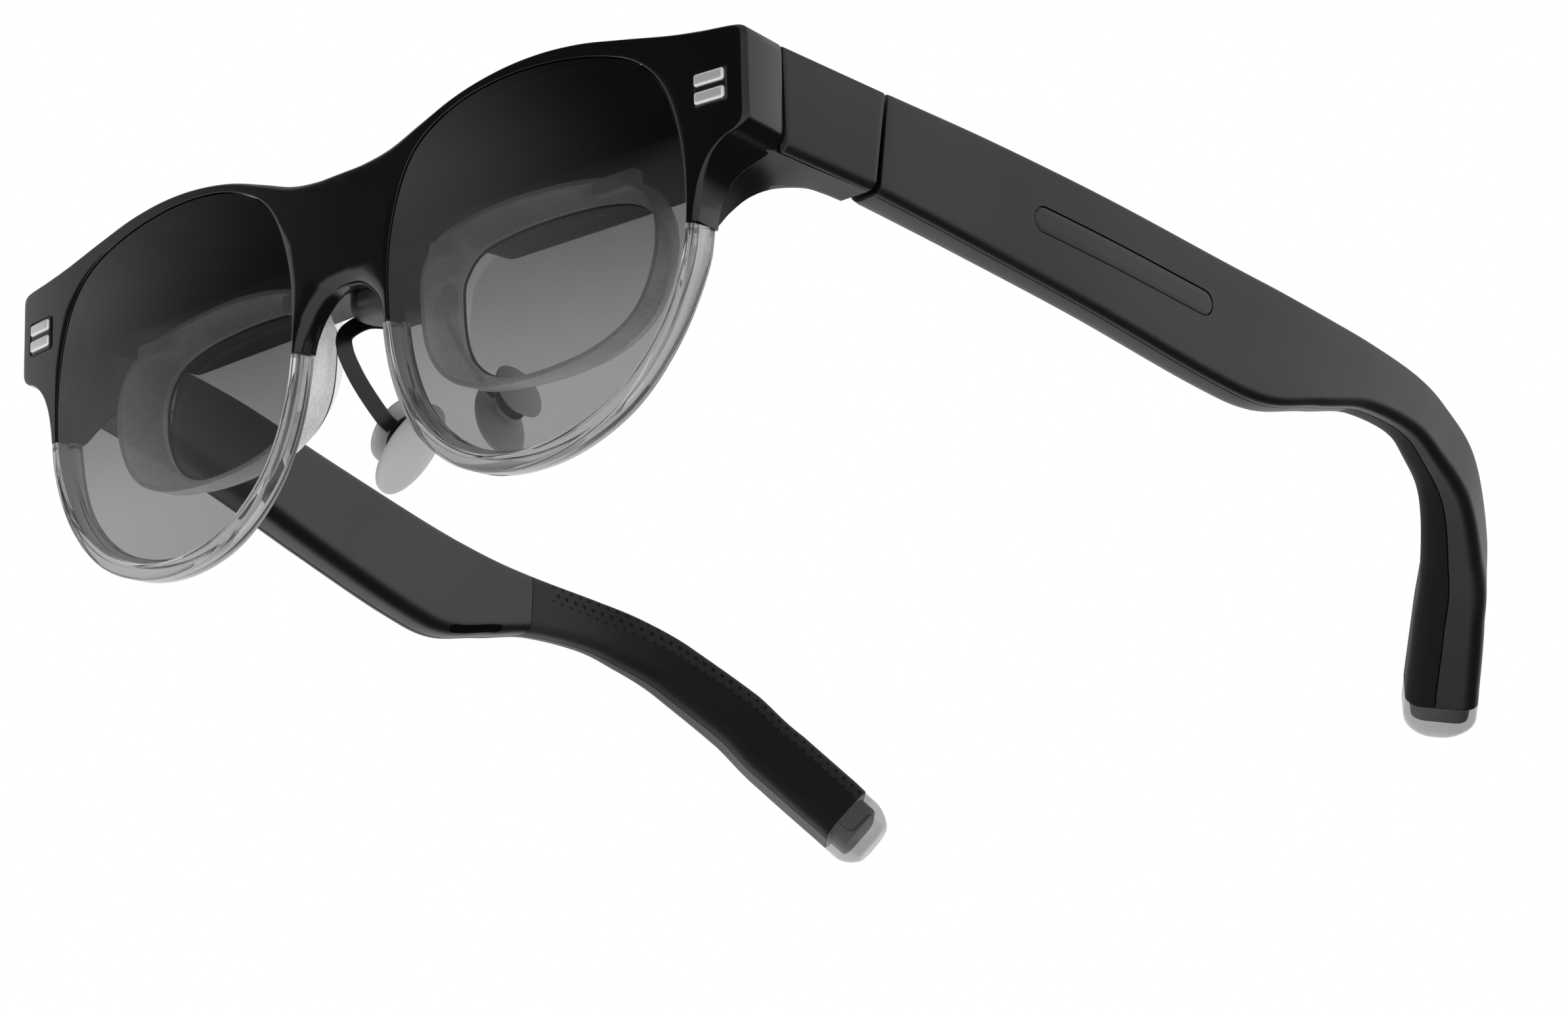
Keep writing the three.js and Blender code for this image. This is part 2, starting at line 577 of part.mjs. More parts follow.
function disc(radius, depth, centre) {
  const geometry = new THREE.CylinderGeometry(radius, radius, depth, 16);
  const turn = new THREE.Quaternion().setFromUnitVectors(new THREE.Vector3(0, 1, 0), padNormal);
  return geometry.applyQuaternion(turn).translate(centre.x, centre.y, centre.z);
}

function lobe(halfLength, halfWidth, halfDepth, centre) {
  const axes = new THREE.Matrix4().makeBasis(padNormal, padAcross, padLong).setPosition(centre);
  return new THREE.SphereGeometry(1, 16, 10).rotateX(Math.PI / 2).scale(halfDepth, halfWidth, halfLength).applyMatrix4(axes);
}

const armWidth = 2.6;
const armThick = 0.9;
const armRoute = new THREE.CatmullRomCurve3([
  new THREE.Vector3(4.2, 16.2, -17.4), new THREE.Vector3(8.4, 13.2, -17.2), new THREE.Vector3(9.8, 10.4, -19.4),
  new THREE.Vector3(9.6, 10.6, -21.8), new THREE.Vector3(9.6, 12.7, -24.7), new THREE.Vector3(10, 16.8, -29.7),
  ringCentre.clone().addScaledVector(padAcross, -2.6),
]);
function noseArm() {
  const count = 14;
  const facing = new THREE.Vector3(0.55, 0.6, 0.2).normalize();
  const list = Array.from({ length: count + 1 }, (_, i) => {
    const along = armRoute.getTangent(i / count);
    const across = along.clone().cross(facing).normalize();
    return { origin: armRoute.getPoint(i / count), a: across, b: across.clone().cross(along).normalize() };
  });
  const section = roundedRect(-armWidth / 2, armWidth / 2, -armThick / 2, armThick / 2, [0, 0, 0, 0]);
  return loft(list, () => section);
}
const neckR = 1.5;
const noseSide = cut(join(noseArm(), disc(3, 0.9, ringCentre)), disc(neckR + 0.6, 9, ringCentre));
const noseScrewX = 2.3;
const noseScrewZ = -17.4;
function backwards(radius, y0, y1) {
  const geometry = new THREE.CylinderGeometry(radius, radius, y1 - y0, 12);
  return geometry.translate(noseScrewX, (y0 + y1) / 2, noseScrewZ);
}
const noseScrewHole = backwards(screwR + screwGap, 0, 40);
const barFront = bossY + bossR + gap;
const crossBar = box(-5, 5, barFront, barFront + 1.1, -18.7, -16.1);
addPiece(face, 'nose_bracket', 'blackMetal', cut(
  join(noseSide, mirrored(noseSide), crossBar), noseScrewHole, mirrored(noseScrewHole)));
addPair(face, 'nose_screw', 'steel', join(
  backwards(screwR, barFront - 0.1, barFront + 2), backwards(screwR + 0.6, barFront + 1.4, barFront + 2.1)));

const pad = join(
  lobe(7.2, 4, 1.8, padCentre),
  disc(neckR, 5.5, ringCentre),
  lobe(5, 3.8, 1, onPad(5.4, 1.5)),
);
addPair(face, 'nose_pad', 'silicone', pad);

// ---------------------------------------------------------------- standing on the rims and tips
const rimFoot = { y: 12, z: -49.6 };
const tipFoot = { y: 172.5, z: -37 };
root.rotation.x = -Math.atan2(tipFoot.z - rimFoot.z, tipFoot.y - rimFoot.y);
const size = new THREE.Box3().setFromObject(root, true);
root.position.set(0, -(size.min.y + size.max.y) / 2, -size.min.z);

export default root;
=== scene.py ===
# Display smart glasses, put together from the front backwards. Sizes are in millimetres until a
# piece is finished. The face frame leans with the front: X to the wearer's left, Y back, Z up, with
# the front surface near y = 0. The worn frame is level, with its Y along the temples.

import json
import math

import bpy
import numpy as np
from mathutils import Matrix, Vector


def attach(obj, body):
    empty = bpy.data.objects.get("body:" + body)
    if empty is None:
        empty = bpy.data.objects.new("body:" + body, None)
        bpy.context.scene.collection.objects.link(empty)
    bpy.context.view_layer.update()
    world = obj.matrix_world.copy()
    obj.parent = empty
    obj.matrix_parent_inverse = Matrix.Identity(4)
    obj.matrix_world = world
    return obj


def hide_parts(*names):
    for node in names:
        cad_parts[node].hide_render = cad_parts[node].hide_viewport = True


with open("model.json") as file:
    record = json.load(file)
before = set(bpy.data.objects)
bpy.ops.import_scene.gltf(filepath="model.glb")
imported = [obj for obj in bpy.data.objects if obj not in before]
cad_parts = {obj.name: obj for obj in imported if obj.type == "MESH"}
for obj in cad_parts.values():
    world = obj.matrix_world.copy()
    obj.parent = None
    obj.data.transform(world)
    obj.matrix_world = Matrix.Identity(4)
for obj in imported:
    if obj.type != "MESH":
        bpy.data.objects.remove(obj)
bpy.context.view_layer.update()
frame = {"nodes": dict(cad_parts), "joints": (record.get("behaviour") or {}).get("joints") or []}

# ---------------------------------------------------------------- how the glasses stand
# The open glasses stand on the bottoms of the clear rims and on the temple tips. The left hinge
# pin says how the worn frame is turned and placed, and the front leans back from it.
hinge = (72.2, 29.2, -6.3)
front_lean = math.radians(10)
left_fold = next(joint for joint in frame["joints"] if joint["name"] == "left_fold")
pin_axis = Vector(left_fold["axis"])
level = Matrix.Rotation(-math.atan2(pin_axis.y, pin_axis.z), 4, "X")
millimetres = Matrix.Scale(0.001, 4)
pin_to_origin = Matrix.Translation([-v for v in hinge])
worn = Matrix.Translation(left_fold["pos_m"]) @ level @ millimetres @ pin_to_origin
face = worn @ Matrix.Rotation(front_lean, 4, "X")

# ---------------------------------------------------------------- camera
# Low in front of the wearer's left side, looking up at the glasses, with a long lens.
camera_azimuth = math.radians(43.33)
camera_height = math.radians(-15.66)
camera_roll = math.radians(-1.59)
towards_camera = Vector((math.sin(camera_azimuth) * math.cos(camera_height),
                         -math.cos(camera_azimuth) * math.cos(camera_height), math.sin(camera_height)))
camera_right = Vector((0, 0, 1)).cross(towards_camera).normalized()
camera_up = towards_camera.cross(camera_right)
rolled_right = camera_right * math.cos(camera_roll) + camera_up * math.sin(camera_roll)
rolled_up = camera_up * math.cos(camera_roll) - camera_right * math.sin(camera_roll)
camera_distance = 633.0
camera_shift_right, camera_shift_up = 61.4, -46.6
camera_place = rolled_right * camera_shift_right + rolled_up * camera_shift_up
camera_place += towards_camera * camera_distance
turn = Matrix((rolled_right, rolled_up, towards_camera)).transposed()
bpy.ops.object.camera_add()
camera = bpy.context.object
camera.data.sensor_width = 36
camera.data.lens = 105.53
camera.data.clip_start = 0.01
face_turn = face.to_3x3().normalized().to_4x4()
camera.matrix_world = Matrix.Translation(face @ camera_place) @ face_turn @ turn.to_4x4()
bpy.context.scene.camera = camera

# ---------------------------------------------------------------- studio
# A white room with a pale floor far below. Two black flags keep their reflections dark: one ahead of
# the glasses, for the glossy front, and one low behind them, for the rounded lower edges.
bpy.context.scene.view_settings.view_transform = "Standard"
bpy.ops.mesh.primitive_plane_add(size=80, location=(0, 0, -0.6))
floor = bpy.context.object
floor.name = "floor"
floor_paint = bpy.data.materials.new("floor_paint")
floor_paint.use_nodes = True
floor_shader = floor_paint.node_tree.nodes["Principled BSDF"]
floor_shader.inputs["Base Color"].default_value = (0.97, 0.97, 0.97, 1)
floor_shader.inputs["Roughness"].default_value = 0.9
floor.data.materials.append(floor_paint)
floor.visible_glossy = False


# Shader maths written as plain expressions: a wire is a socket of a node tree.
class Wire:
    def __init__(self, tree, socket):
        self.tree = tree
        self.socket = socket

    def node(self, kind, settings=None, sockets=None, out=0):
        made = self.tree.nodes.new("ShaderNode" + kind)
        for name, value in (settings or {}).items():
            setattr(made, name, value)
        for name, value in (sockets or {}).items():
            if isinstance(value, Wire):
                self.tree.links.new(value.socket, made.inputs[name])
            else:
                made.inputs[name].default_value = value
        return Wire(self.tree, made.outputs[out]) if len(made.outputs) else made

    def blend(self, first, second):
        """Goes from the first colour to the second as this wire goes from 0 to 1."""
        return self.node("Mix", {"data_type": "RGBA"}, {"Factor": self, 6: first, 7: second}, out=2)

    def maths(self, operation, *values):
        return self.node("Math", {"operation": operation}, dict(enumerate(values)))

    def __add__(self, other):
        return self.maths("ADD", self, other)

    def __radd__(self, other):
        return self.maths("ADD", other, self)

    def __sub__(self, other):
        return self.maths("SUBTRACT", self, other)

    def __rsub__(self, other):
        return self.maths("SUBTRACT", other, self)

    def __mul__(self, other):
        return self.maths("MULTIPLY", self, other)

    def __rmul__(self, other):
        return self.maths("MULTIPLY", other, self)

    def __truediv__(self, other):
        return self.maths("DIVIDE", self, other)

    def __pow__(self, other):
        return self.maths("POWER", self, other)

    def between(self, low, high):
        """0 below low, 1 above high, smooth in between."""
        settings = {"interpolation_type": "SMOOTHSTEP", "clamp": True}
        return self.node("MapRange", settings, {"Value": self, "From Min": low, "From Max": high})

    def part(self, axis):
        return self.node("SeparateXYZ", None, {"Vector": self}, out="XYZ".index(axis))


room = bpy.data.worlds.new("studio")
room.use_nodes = True
bpy.context.scene.world = room
wire = Wire(room.node_tree, None)
room.node_tree.nodes.clear()
direction = wire.node("TexCoord", out=0)
front_flag = direction.node("VectorMath", {"operation": "DOT_PRODUCT"},
                            {0: direction, 1: Vector((-0.45, -0.86, 0.25)).normalized()}, out=1)
low_flag = direction.node("VectorMath", {"operation": "DOT_PRODUCT"},
                          {0: direction, 1: Vector((0.36, 0.64, -0.68)).normalized()}, out=1)
overhead = direction.part("Z")
in_front = 1 - 0.93 * front_flag.between(0.86, 0.94)
below = 1 - 0.95 * low_flag.between(0.52, 0.86)
glow = in_front * below * (1.1 - 0.5 * overhead.between(-0.2, 0.6))
seen = wire.node("LightPath", out=0)
strength = seen + glow * (1 - seen)
lamp = wire.node("Background", None, {"Color": (1, 1, 1, 1), "Strength": strength})
wire.node("OutputWorld", None, {"Surface": lamp})

bpy.ops.object.light_add(type="AREA", location=(0.5, 0.55, 0.45))
key = bpy.context.object
key.name = "key_light"
key.data.size = 0.7
key.data.energy = 0.9
glasses_middle = Vector((0, 0, 0.03))
key.rotation_euler = (glasses_middle - key.location).to_track_quat("-Z", "Y").to_euler()


# ---------------------------------------------------------------- front shell
# One moulding of black plastic, polished: the brow, the bridge with its nose arch, the black upper
# halves of the rims and the endpieces, which turn back to meet the side arms.
def finish(name, base, roughness, colour_change=0.0, grain=0.0, grain_size=0.4, **constants):
    """A procedural finish: base colour and roughness vary a little, and a fine grain gives bump."""
    made = bpy.data.materials.new(name)
    made.use_nodes = True
    shader = made.node_tree.nodes["Principled BSDF"]
    for socket, value in constants.items():
        shader.inputs[socket.replace("_", " ")].default_value = value
    start = Wire(made.node_tree, None)
    place = start.node("TexCoord", out=3)
    cloud = start.node("TexNoise", None, {"Vector": place, "Scale": 90.0, "Detail": 2.0})
    speck = start.node("TexNoise", None, {"Vector": place, "Scale": 1000.0 / grain_size, "Detail": 1.0})
    shade = 1 + (cloud - 0.5) * (2 * colour_change) + (speck - 0.5) * colour_change
    tone = (shade * 0.5).blend((0, 0, 0, 1), (*[2 * c for c in base], 1))
    start.tree.links.new(tone.socket, shader.inputs["Base Color"])
    rough = roughness + (cloud - 0.5) * (roughness * 0.25) + (speck - 0.5) * (roughness * 0.2)
    start.tree.links.new(rough.socket, shader.inputs["Roughness"])
    if grain:
        bump = start.node("Bump", None, {"Height": speck, "Strength": grain, "Distance": 0.00002})
        start.tree.links.new(bump.socket, shader.inputs["Normal"])
    return made


def through(points, count, closed=False):
    """Evenly spaced points on a smooth curve through the given ones."""
    points = np.array(points, float)
    if closed:
        points = np.vstack([points[-1], points, points[:2]])
    else:
        points = np.vstack([2 * points[0] - points[1], points, 2 * points[-1] - points[-2]])
    t = np.linspace(0, 1, 40, endpoint=False)[:, None]
    spans = []
    for a, b, c, d in zip(points, points[1:], points[2:], points[3:]):
        spans.append(b + 0.5 * t * (c - a + t * (2 * a - 5 * b + 4 * c - d + t * (3 * (b - c) + d - a))))
    curve = np.vstack(spans + [points[-2][None]])
    along = np.concatenate([[0], np.cumsum(np.linalg.norm(np.diff(curve, axis=0), axis=1))])
    wanted = np.linspace(0, along[-1], count + 1 if closed else count)
    even = np.stack([np.interp(wanted, along, column) for column in curve.T], axis=1)
    return even[:-1] if closed else even


def build(name, points, faces, where, body, nodes, material, mirror=False, smooth=38, uv=None):
    """Makes a closed mesh in its place, lets it ride on its body and stand for its CAD nodes."""
    points = np.array(points, float)
    if mirror:
        points = points * (-1, 1, 1)
    mesh = bpy.data.meshes.new(name)
    mesh.from_pydata([tuple(p) for p in points], [], [tuple(f) for f in faces])
    piece = bpy.data.objects.new(name, mesh)
    bpy.context.scene.collection.objects.link(piece)
    if uv is not None:
        layer = mesh.uv_layers.new(name="surface")
        for loop in mesh.loops:
            layer.data[loop.index].uv = uv[loop.vertex_index]
    mesh.transform(where)
    bpy.ops.object.select_all(action="DESELECT")
    bpy.context.view_layer.objects.active = piece
    piece.select_set(True)
    bpy.ops.object.mode_set(mode="EDIT")
    bpy.ops.mesh.select_all(action="SELECT")
    if uv is None:
        bpy.ops.mesh.remove_doubles(threshold=0.000001)
        bpy.ops.mesh.dissolve_degenerate(threshold=0.000001)
    bpy.ops.mesh.select_all(action="SELECT")
    bpy.ops.mesh.normals_make_consistent(inside=False)
    bpy.ops.object.mode_set(mode="OBJECT")
    bpy.ops.object.shade_smooth_by_angle(angle=math.radians(smooth))
    mesh.materials.append(material)
    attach(piece, body)
    if nodes:
        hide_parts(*nodes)


def loft(rings, closed=False):
    """Faces that join rings of points one to the next, with a flat end at each end."""
    rings = np.array(rings, float)
    count, size = rings.shape[:2]
    faces = []
    for i in range(count if closed else count - 1):
        here, there = i * size, ((i + 1) % count) * size
        for j in range(size):
            k = (j + 1) % size
            faces.append((here + j, here + k, there + k, there + j))
    if not closed:
        faces.append(tuple(range(size))[::-1])
        faces.append(tuple(range((count - 1) * size, count * size)))
    return rings.reshape(-1, 3), faces


wrap, corner_sweep = 0.00046, 0.6
sweep_start, sweep_width = 60, 14.9


def bow(x):
    """The front wraps round the face: a shallow parabola, with corners that sweep back more."""
    sweep = np.clip((np.abs(x) - sweep_start) / sweep_width, 0, None)
    return wrap * x * x + corner_sweep * sweep ** 3


seam_drop = 24.5
rim_depth = 3.4
return_depth = 10.2
edge_radius, wall_thickness = 0.75, 1.4
arch_roll, arch_roll_depth = 2.6, 2.2
lens_points = [
    (9.9, -22), (10.6, -11.5), (14.8, -2.2), (23, 2.5), (34, 4.1), (46, 3.1), (56, 0), (61.5, -5.2),
    (64.3, -13.5), (64.9, -22.5), (63.6, -30), (59.4, -37.8), (52.5, -44), (43, -47.6), (33, -48.2),
    (23.8, -45.8), (16.2, -40), (11.7, -31.8)]
lens_edge = through(lens_points, 720, closed=True)
above = lens_edge[:, 1] > -seam_drop
first_above = np.flatnonzero(above & ~np.roll(above, 1))[0]
lens_edge = np.roll(lens_edge, -first_above, axis=0)
opening_top = lens_edge[lens_edge[:, 1] > -seam_drop]
opening_low = lens_edge[lens_edge[:, 1] <= -seam_drop][::-1]

arch = through([(8.55, -seam_drop), (7.75, -22.3), (5.8, -19.6), (3, -17.6), (0, -17)], 26)
fine_arch = through([tuple(v) for v in arch], 200)
down_middle = (-16.9, -16.7, -16.4, -16, -15.5, -15, -14.4, -13.4, -11.5, -9, -6.5, -4.2, -2.4)
middle = np.array([(0, z) for z in down_middle], float)
brow = through([(0, -0.8), (5, -0.7), (10.5, 0.1), (16.5, 2), (24, 4.2), (32, 5.4), (39.5, 5.6), (47, 4.9),
                (54.5, 3.4), (62.5, 1.75), (68, 0.95), (72.8, 0.5)], 110)
corner = through([(72.8, 0.5), (73.9, 0.32), (74.6, -0.1), (74.88, -0.9), (74.9, -3)], 14)[1:]
cheek = through([(74.9, -3), (74.9, -7.5), (74.9, -11.6), (74.55, -12.9), (73.5, -13.7), (71.4, -14.5),
                 (69.2, -16.3), (67.7, -18.9), (66.9, -21.8), (66.45, -seam_drop)], 80)[1:]
outer = np.vstack([arch, middle, brow, corner, cheek])
is_middle = np.zeros(len(outer), bool)
is_middle[len(arch) - 1:len(arch) + len(middle) + 1] = True

# Where each outer point looks across to on the edge of the lens opening.
pairs = [(0, 0.0), (len(arch) - 1, 0.105), (len(arch) + len(middle), 0.16)]
brow_start = len(arch) + len(middle)
for x, around in ((10.5, 0.2), (16.5, 0.262), (24, 0.335), (39.5, 0.47), (54.5, 0.61), (62.5, 0.705),
                  (69, 0.765)):
    pairs.append((brow_start + int(np.argmin(abs(brow[:, 0] - x))), around))
pairs += [(brow_start + len(brow) + 6, 0.80), (len(outer) - len(cheek) + 20, 0.855), (len(outer) - 1, 1.0)]
share = np.interp(np.arange(len(outer)), *zip(*pairs))
at_edge = share * (len(opening_top) - 1)
inner = np.stack([np.interp(at_edge, np.arange(len(opening_top)), c) for c in opening_top.T], axis=1)

# Each ring runs from the opening over the front face, round the outer edge and back to the lens
# groove. The endpiece is deeper and turns back, and the face rolls back round the nose arch.
shell_rings = []
for p, q in zip(outer, inner):
    width = np.linalg.norm(p - q)
    out = (p - q) / width
    into_corner = np.clip((p[0] - 66) / 4, 0, 1)
    turned = 3 * into_corner ** 2 - 2 * into_corner ** 3
    if p[1] < -12.5 and p[0] > 60:
        depth = np.interp(p[1], (-24.5, -21, -18.6, -16.6, -14.2), (6.4, 6.7, 7.3, 8.3, return_depth))
        turned = 1
    else:
        depth = rim_depth + (return_depth - rim_depth) * turned
    radius = min(edge_radius, 0.42 * width)
    wall = min(wall_thickness, 0.5 * width)
    section = [(q, rim_depth), (q, 0.25), (q + out * 0.07, 0.07), (q + out * 0.25, 0)]
    flat_end = p - out * radius
    for t in (0.1, 0.25, 0.5, 0.75, 0.9):
        section.append((q + out * 0.25 + (flat_end - q - out * 0.25) * t, 0))
    for angle in np.radians((0, 15, 30, 45, 60, 75, 90)):
        section.append((p - out * radius * (1 - math.sin(angle)), radius * (1 - math.cos(angle))))
    front_count = len(section)
    back = depth - bow(p[0]) * turned
    section += [(p, back - 0.22), (p - out * 0.06, back - 0.06), (p - out * 0.22, back)]
    section += [(p - out * wall, back), (p - out * wall, rim_depth), (q + out * 0.1, rim_depth)]
    ring = []
    for j, (flat, y) in enumerate(section):
        if 0 < j < front_count and p[0] < 16:
            roll = min(arch_roll, 0.72 * width)
            near = 1 - min(roll, float(np.linalg.norm(fine_arch - flat, axis=1).min())) / roll
            y = min(y + arch_roll_depth * (1 - math.sqrt(1 - near * near)), rim_depth - 0.3)
        drop = math.tan(front_lean) * max(0, y - 1.7) * turned
        ring.append((flat[0], y + bow(flat[0]), flat[1] - drop))
    shell_rings.append(ring)
shell_points, _ = loft(shell_rings)
size = len(shell_rings[0])

# The half shell is open where its rings lie on the middle plane, and its mirror image closes it.
shell_faces = []
for i in range(len(shell_rings) - 1):
    on_middle = is_middle[i] and is_middle[i + 1]
    for j in range(size):
        if on_middle and 8 < j < 20:
            continue
        k = (j + 1) % size
        shell_faces.append((i * size + j, i * size + k, (i + 1) * size + k, (i + 1) * size + j))
shell_faces.append(tuple(range(size))[::-1])
shell_faces.append(tuple(range((len(shell_rings) - 1) * size, len(shell_rings) * size)))
for i in np.flatnonzero(np.repeat(is_middle, size)):
    if abs(shell_points[i, 0]) < 0.9 and i % size > 8:
        shell_points[i, 0] = 0
both_points = np.vstack([shell_points, shell_points * (-1, 1, 1)])
both_faces = shell_faces + [tuple(v + len(shell_points) for v in f)[::-1] for f in shell_faces]
black_gloss = finish("black_gloss", (0.0035, 0.0035, 0.0036), 0.16, 0.08)
build("front_shell_body", both_points, both_faces, face, "front", ["front_shell"], black_gloss)

# ---------------------------------------------------------------- clear lower rims
# Clear moulded plastic, one U for each eye, bonded to the shell at the two seams. A groove holds the
# lens, and a thin lip stands behind it.
both_sides = (("left", False), ("right", True))
clear_frame = finish("clear_frame", (0.62, 0.62, 0.62), 0.03, 0.02, Transmission_Weight=0.92, IOR=1.5)
step = np.gradient(opening_low, axis=0)
outward = np.stack([step[:, 1], -step[:, 0]], axis=1)
outward /= np.linalg.norm(outward, axis=1)[:, None]
rim_rings = []
for q, n in zip(opening_low[::3], outward[::3]):
    w = 1.4 + 1.0 * max(0, -n[1]) ** 2
    d = rim_depth + 0.9 * np.clip((q[0] - 50) / 14, 0, 1) * np.clip((q[1] + 40) / 12, 0, 1)
    profile = [(0.0, 0.3), (0.05, 0.08), (0.2, 0), (0.5, 0), (0.55, 0.22), (0.7, 0.22), (0.75, 0),
               (w - 0.5, 0), (w - 0.2, 0.1), (w, 0.4), (w, d - 0.5), (w - 0.15, d - 0.15), (w - 0.45, d),
               (0.5, d), (0.35, d - 0.25), (0.2, d), (-0.75, d), (-0.95, d - 0.25), (-0.95, 2.4),
               (-0.75, 2.15), (0, 2.1)]
    flat = [(q + n * a, y) for a, y in profile]
    rim_rings.append([(p[0], y + bow(p[0]), p[1]) for p, y in flat])
rim_points, rim_faces = loft(rim_rings)
for side, mirror in both_sides:
    build(side + "_rim_clear", rim_points, rim_faces, face, "front", [side + "_clear_rim"],
          clear_frame, mirror)

# ---------------------------------------------------------------- lenses
# Grey tinted lenses, darkest at the top, polished, with a fine bevel round the edge.
smoked_lens = bpy.data.materials.new("smoked_lens")
smoked_lens.use_nodes = True
lens_shader = smoked_lens.node_tree.nodes["Principled BSDF"]
lens_wire = Wire(smoked_lens.node_tree, None)
lens_place = lens_wire.node("TexCoord", out=3)
height = lens_place.part("Z")
across = lens_place.part("X")
haze = lens_wire.node("TexNoise", None, {"Vector": lens_place, "Scale": 25.0, "Detail": 1.0})
tint = 0.48 + 0.16 * height.between(0.010, 0.036) + 0.33 * height.between(0.036, 0.047)
tint = tint + 0.02 * (haze - 0.5)
# The base colour turns paler grey over the part of each lens near the nose and low down: a painted
# reflection of the bright room, not tint.
from_middle = across.maths("ABSOLUTE", across) - 0.037
own_side = from_middle * across.maths("SIGN", across)
slope = 0.02 + 0.007 * (1 + across.maths("SIGN", across)) - own_side * 0.8 - (height - 0.03) * 0.7
painted_reflection = slope.between(0.008, 0.05) * (0.9 + 0.2 * haze)
lens_wire.tree.links.new(tint.socket, lens_shader.inputs["Alpha"])
lens_tone = painted_reflection.blend((0.004, 0.004, 0.004, 1), (0.085, 0.085, 0.085, 1))
lens_wire.tree.links.new(lens_tone.socket, lens_shader.inputs["Base Color"])
lens_shader.inputs["Roughness"].default_value = 0.04
lens_shader.inputs["IOR"].default_value = 1.45
shrunk = lens_edge[::4] - lens_edge.mean(axis=0)
centre = lens_edge.mean(axis=0)
layers = []
for y, shares in ((0.2, (0.2, 0.4, 0.6, 0.8, 0.992)), (1.8, (0.992, 0.8, 0.6, 0.4, 0.2))):
    for s in shares:
        flat = centre + shrunk * s
        layers.append([(p[0], y + bow(p[0]), p[1]) for p in flat])
    if y == 0.2:
        for y_edge in (0.3, 1.7):
            layers.append([(p[0], y_edge + bow(p[0]), p[1]) for p in centre + shrunk * 0.996])
layers = np.array(layers)
lens_mesh_points, lens_mesh_faces = loft(layers)
for side, mirror in both_sides:
    build(side + "_lens_tinted", lens_mesh_points, lens_mesh_faces, face, "front", [side + "_front_lens"],
          smoked_lens, mirror, smooth=20)

# ---------------------------------------------------------------- badge bars
# Two plain bars of bright metal at each end of the front, pressed into a shallow dark seat. Each
# bar is a cut blank with its corners rounded and its edges broken.
def bar_blank(name, size, place, round_corner, break_edge, body, nodes, material, mirror):
    """A bar with its four long corners rounded and the edges of its front face broken."""
    bpy.ops.object.select_all(action="DESELECT")
    bpy.ops.mesh.primitive_cube_add(size=1)
    piece = bpy.context.object
    piece.name = name
    bpy.ops.object.mode_set(mode="EDIT")
    bpy.ops.transform.resize(value=size)
    bpy.ops.mesh.select_all(action="DESELECT")
    bpy.ops.object.mode_set(mode="OBJECT")
    for edge in piece.data.edges:
        a, b = (piece.data.vertices[v].co for v in edge.vertices)
        edge.select = abs(a.y - b.y) > 0.5 * size[1]
    bpy.ops.object.mode_set(mode="EDIT")
    bpy.ops.mesh.bevel(offset=round_corner, segments=5, affect="EDGES")
    bpy.ops.mesh.select_all(action="DESELECT")
    bpy.ops.object.mode_set(mode="OBJECT")
    for edge in piece.data.edges:
        a, b = (piece.data.vertices[v].co for v in edge.vertices)
        edge.select = max(a.y, b.y) < -0.49 * size[1]
    bpy.ops.object.mode_set(mode="EDIT")
    bpy.ops.mesh.bevel(offset=break_edge, segments=3, affect="EDGES")
    bpy.ops.object.mode_set(mode="OBJECT")
    sweep = max(0, place[0] - sweep_start) / sweep_width
    slope = math.atan(2 * wrap * place[0] + 3 * corner_sweep * sweep ** 2 / sweep_width)
    piece.data.transform(Matrix.Translation(place) @ Matrix.Rotation(slope, 4, "Z"))
    if mirror:
        piece.data.transform(Matrix.Scale(-1, 4, (1, 0, 0)))
        piece.data.flip_normals()
    piece.data.transform(face)
    bpy.ops.object.shade_smooth_by_angle(angle=math.radians(38))
    piece.data.materials.append(material)
    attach(piece, body)
    if nodes:
        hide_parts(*nodes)


badge_middle = 69.4
silver = finish("silver", (0.88, 0.88, 0.88), 0.5, 0.05, 0.05, 0.12, Metallic=0.85)
badge_seat = finish("badge_seat", (0.006, 0.006, 0.006), 0.35, 0.1, 0.05, 0.3)
for side, mirror in both_sides:
    at_front = float(bow(badge_middle))
    bar_blank(side + "_badge_seat", (5.9, 0.5, 5.1), (badge_middle, at_front + 0.16, -7.2), 0.6, 0.1,
              "front", [], badge_seat, mirror)
    for bar, top in (("upper", -5.1), ("lower", -7.55)):
        bar_blank(f"{side}_bar_{bar}", (4.9, 1.0, 1.75), (badge_middle, at_front, top - 0.875), 0.42, 0.12,
                  "front", [f"{side}_badge_{bar}"], silver, mirror)

# ---------------------------------------------------------------- optics housing
# Black moulded cases behind the brow, one over each eye and joined behind the bridge, with a round
# boss under the bridge that carries the nose bracket.
black_satin = finish("black_satin", (0.0055, 0.0055, 0.0056), 0.40, 0.08, 0.25, 0.16)


def grown(outline, distance):
    """A closed outline with every point moved out along its normal."""
    outline = np.array(outline, float)
    run = np.roll(outline, -1, axis=0) - np.roll(outline, 1, axis=0)
    normal = np.stack([run[:, 1], -run[:, 0]], axis=1) / np.linalg.norm(run, axis=1)[:, None]
    area = (outline[:, 0] * np.roll(outline[:, 1], -1) - np.roll(outline[:, 0], -1) * outline[:, 1]).sum()
    return outline + normal * distance * (1 if area > 0 else -1)


def slab(outline, y_front, y_back, edge, bowed=True):
    """An outline in X and Z carried from front to back, with rounded edges at both ends."""
    steps = [(y_front, -edge), (y_front + 0.3 * edge, -0.3 * edge), (y_front + edge, 0), (y_back - edge, 0),
             (y_back - 0.3 * edge, -0.3 * edge), (y_back, -edge)]
    rings = []
    for y, out in steps:
        flat = grown(outline, out)
        rings.append([(p[0], y + (bow(p[0]) if bowed else 0), p[1]) for p in flat])
    return loft(rings)


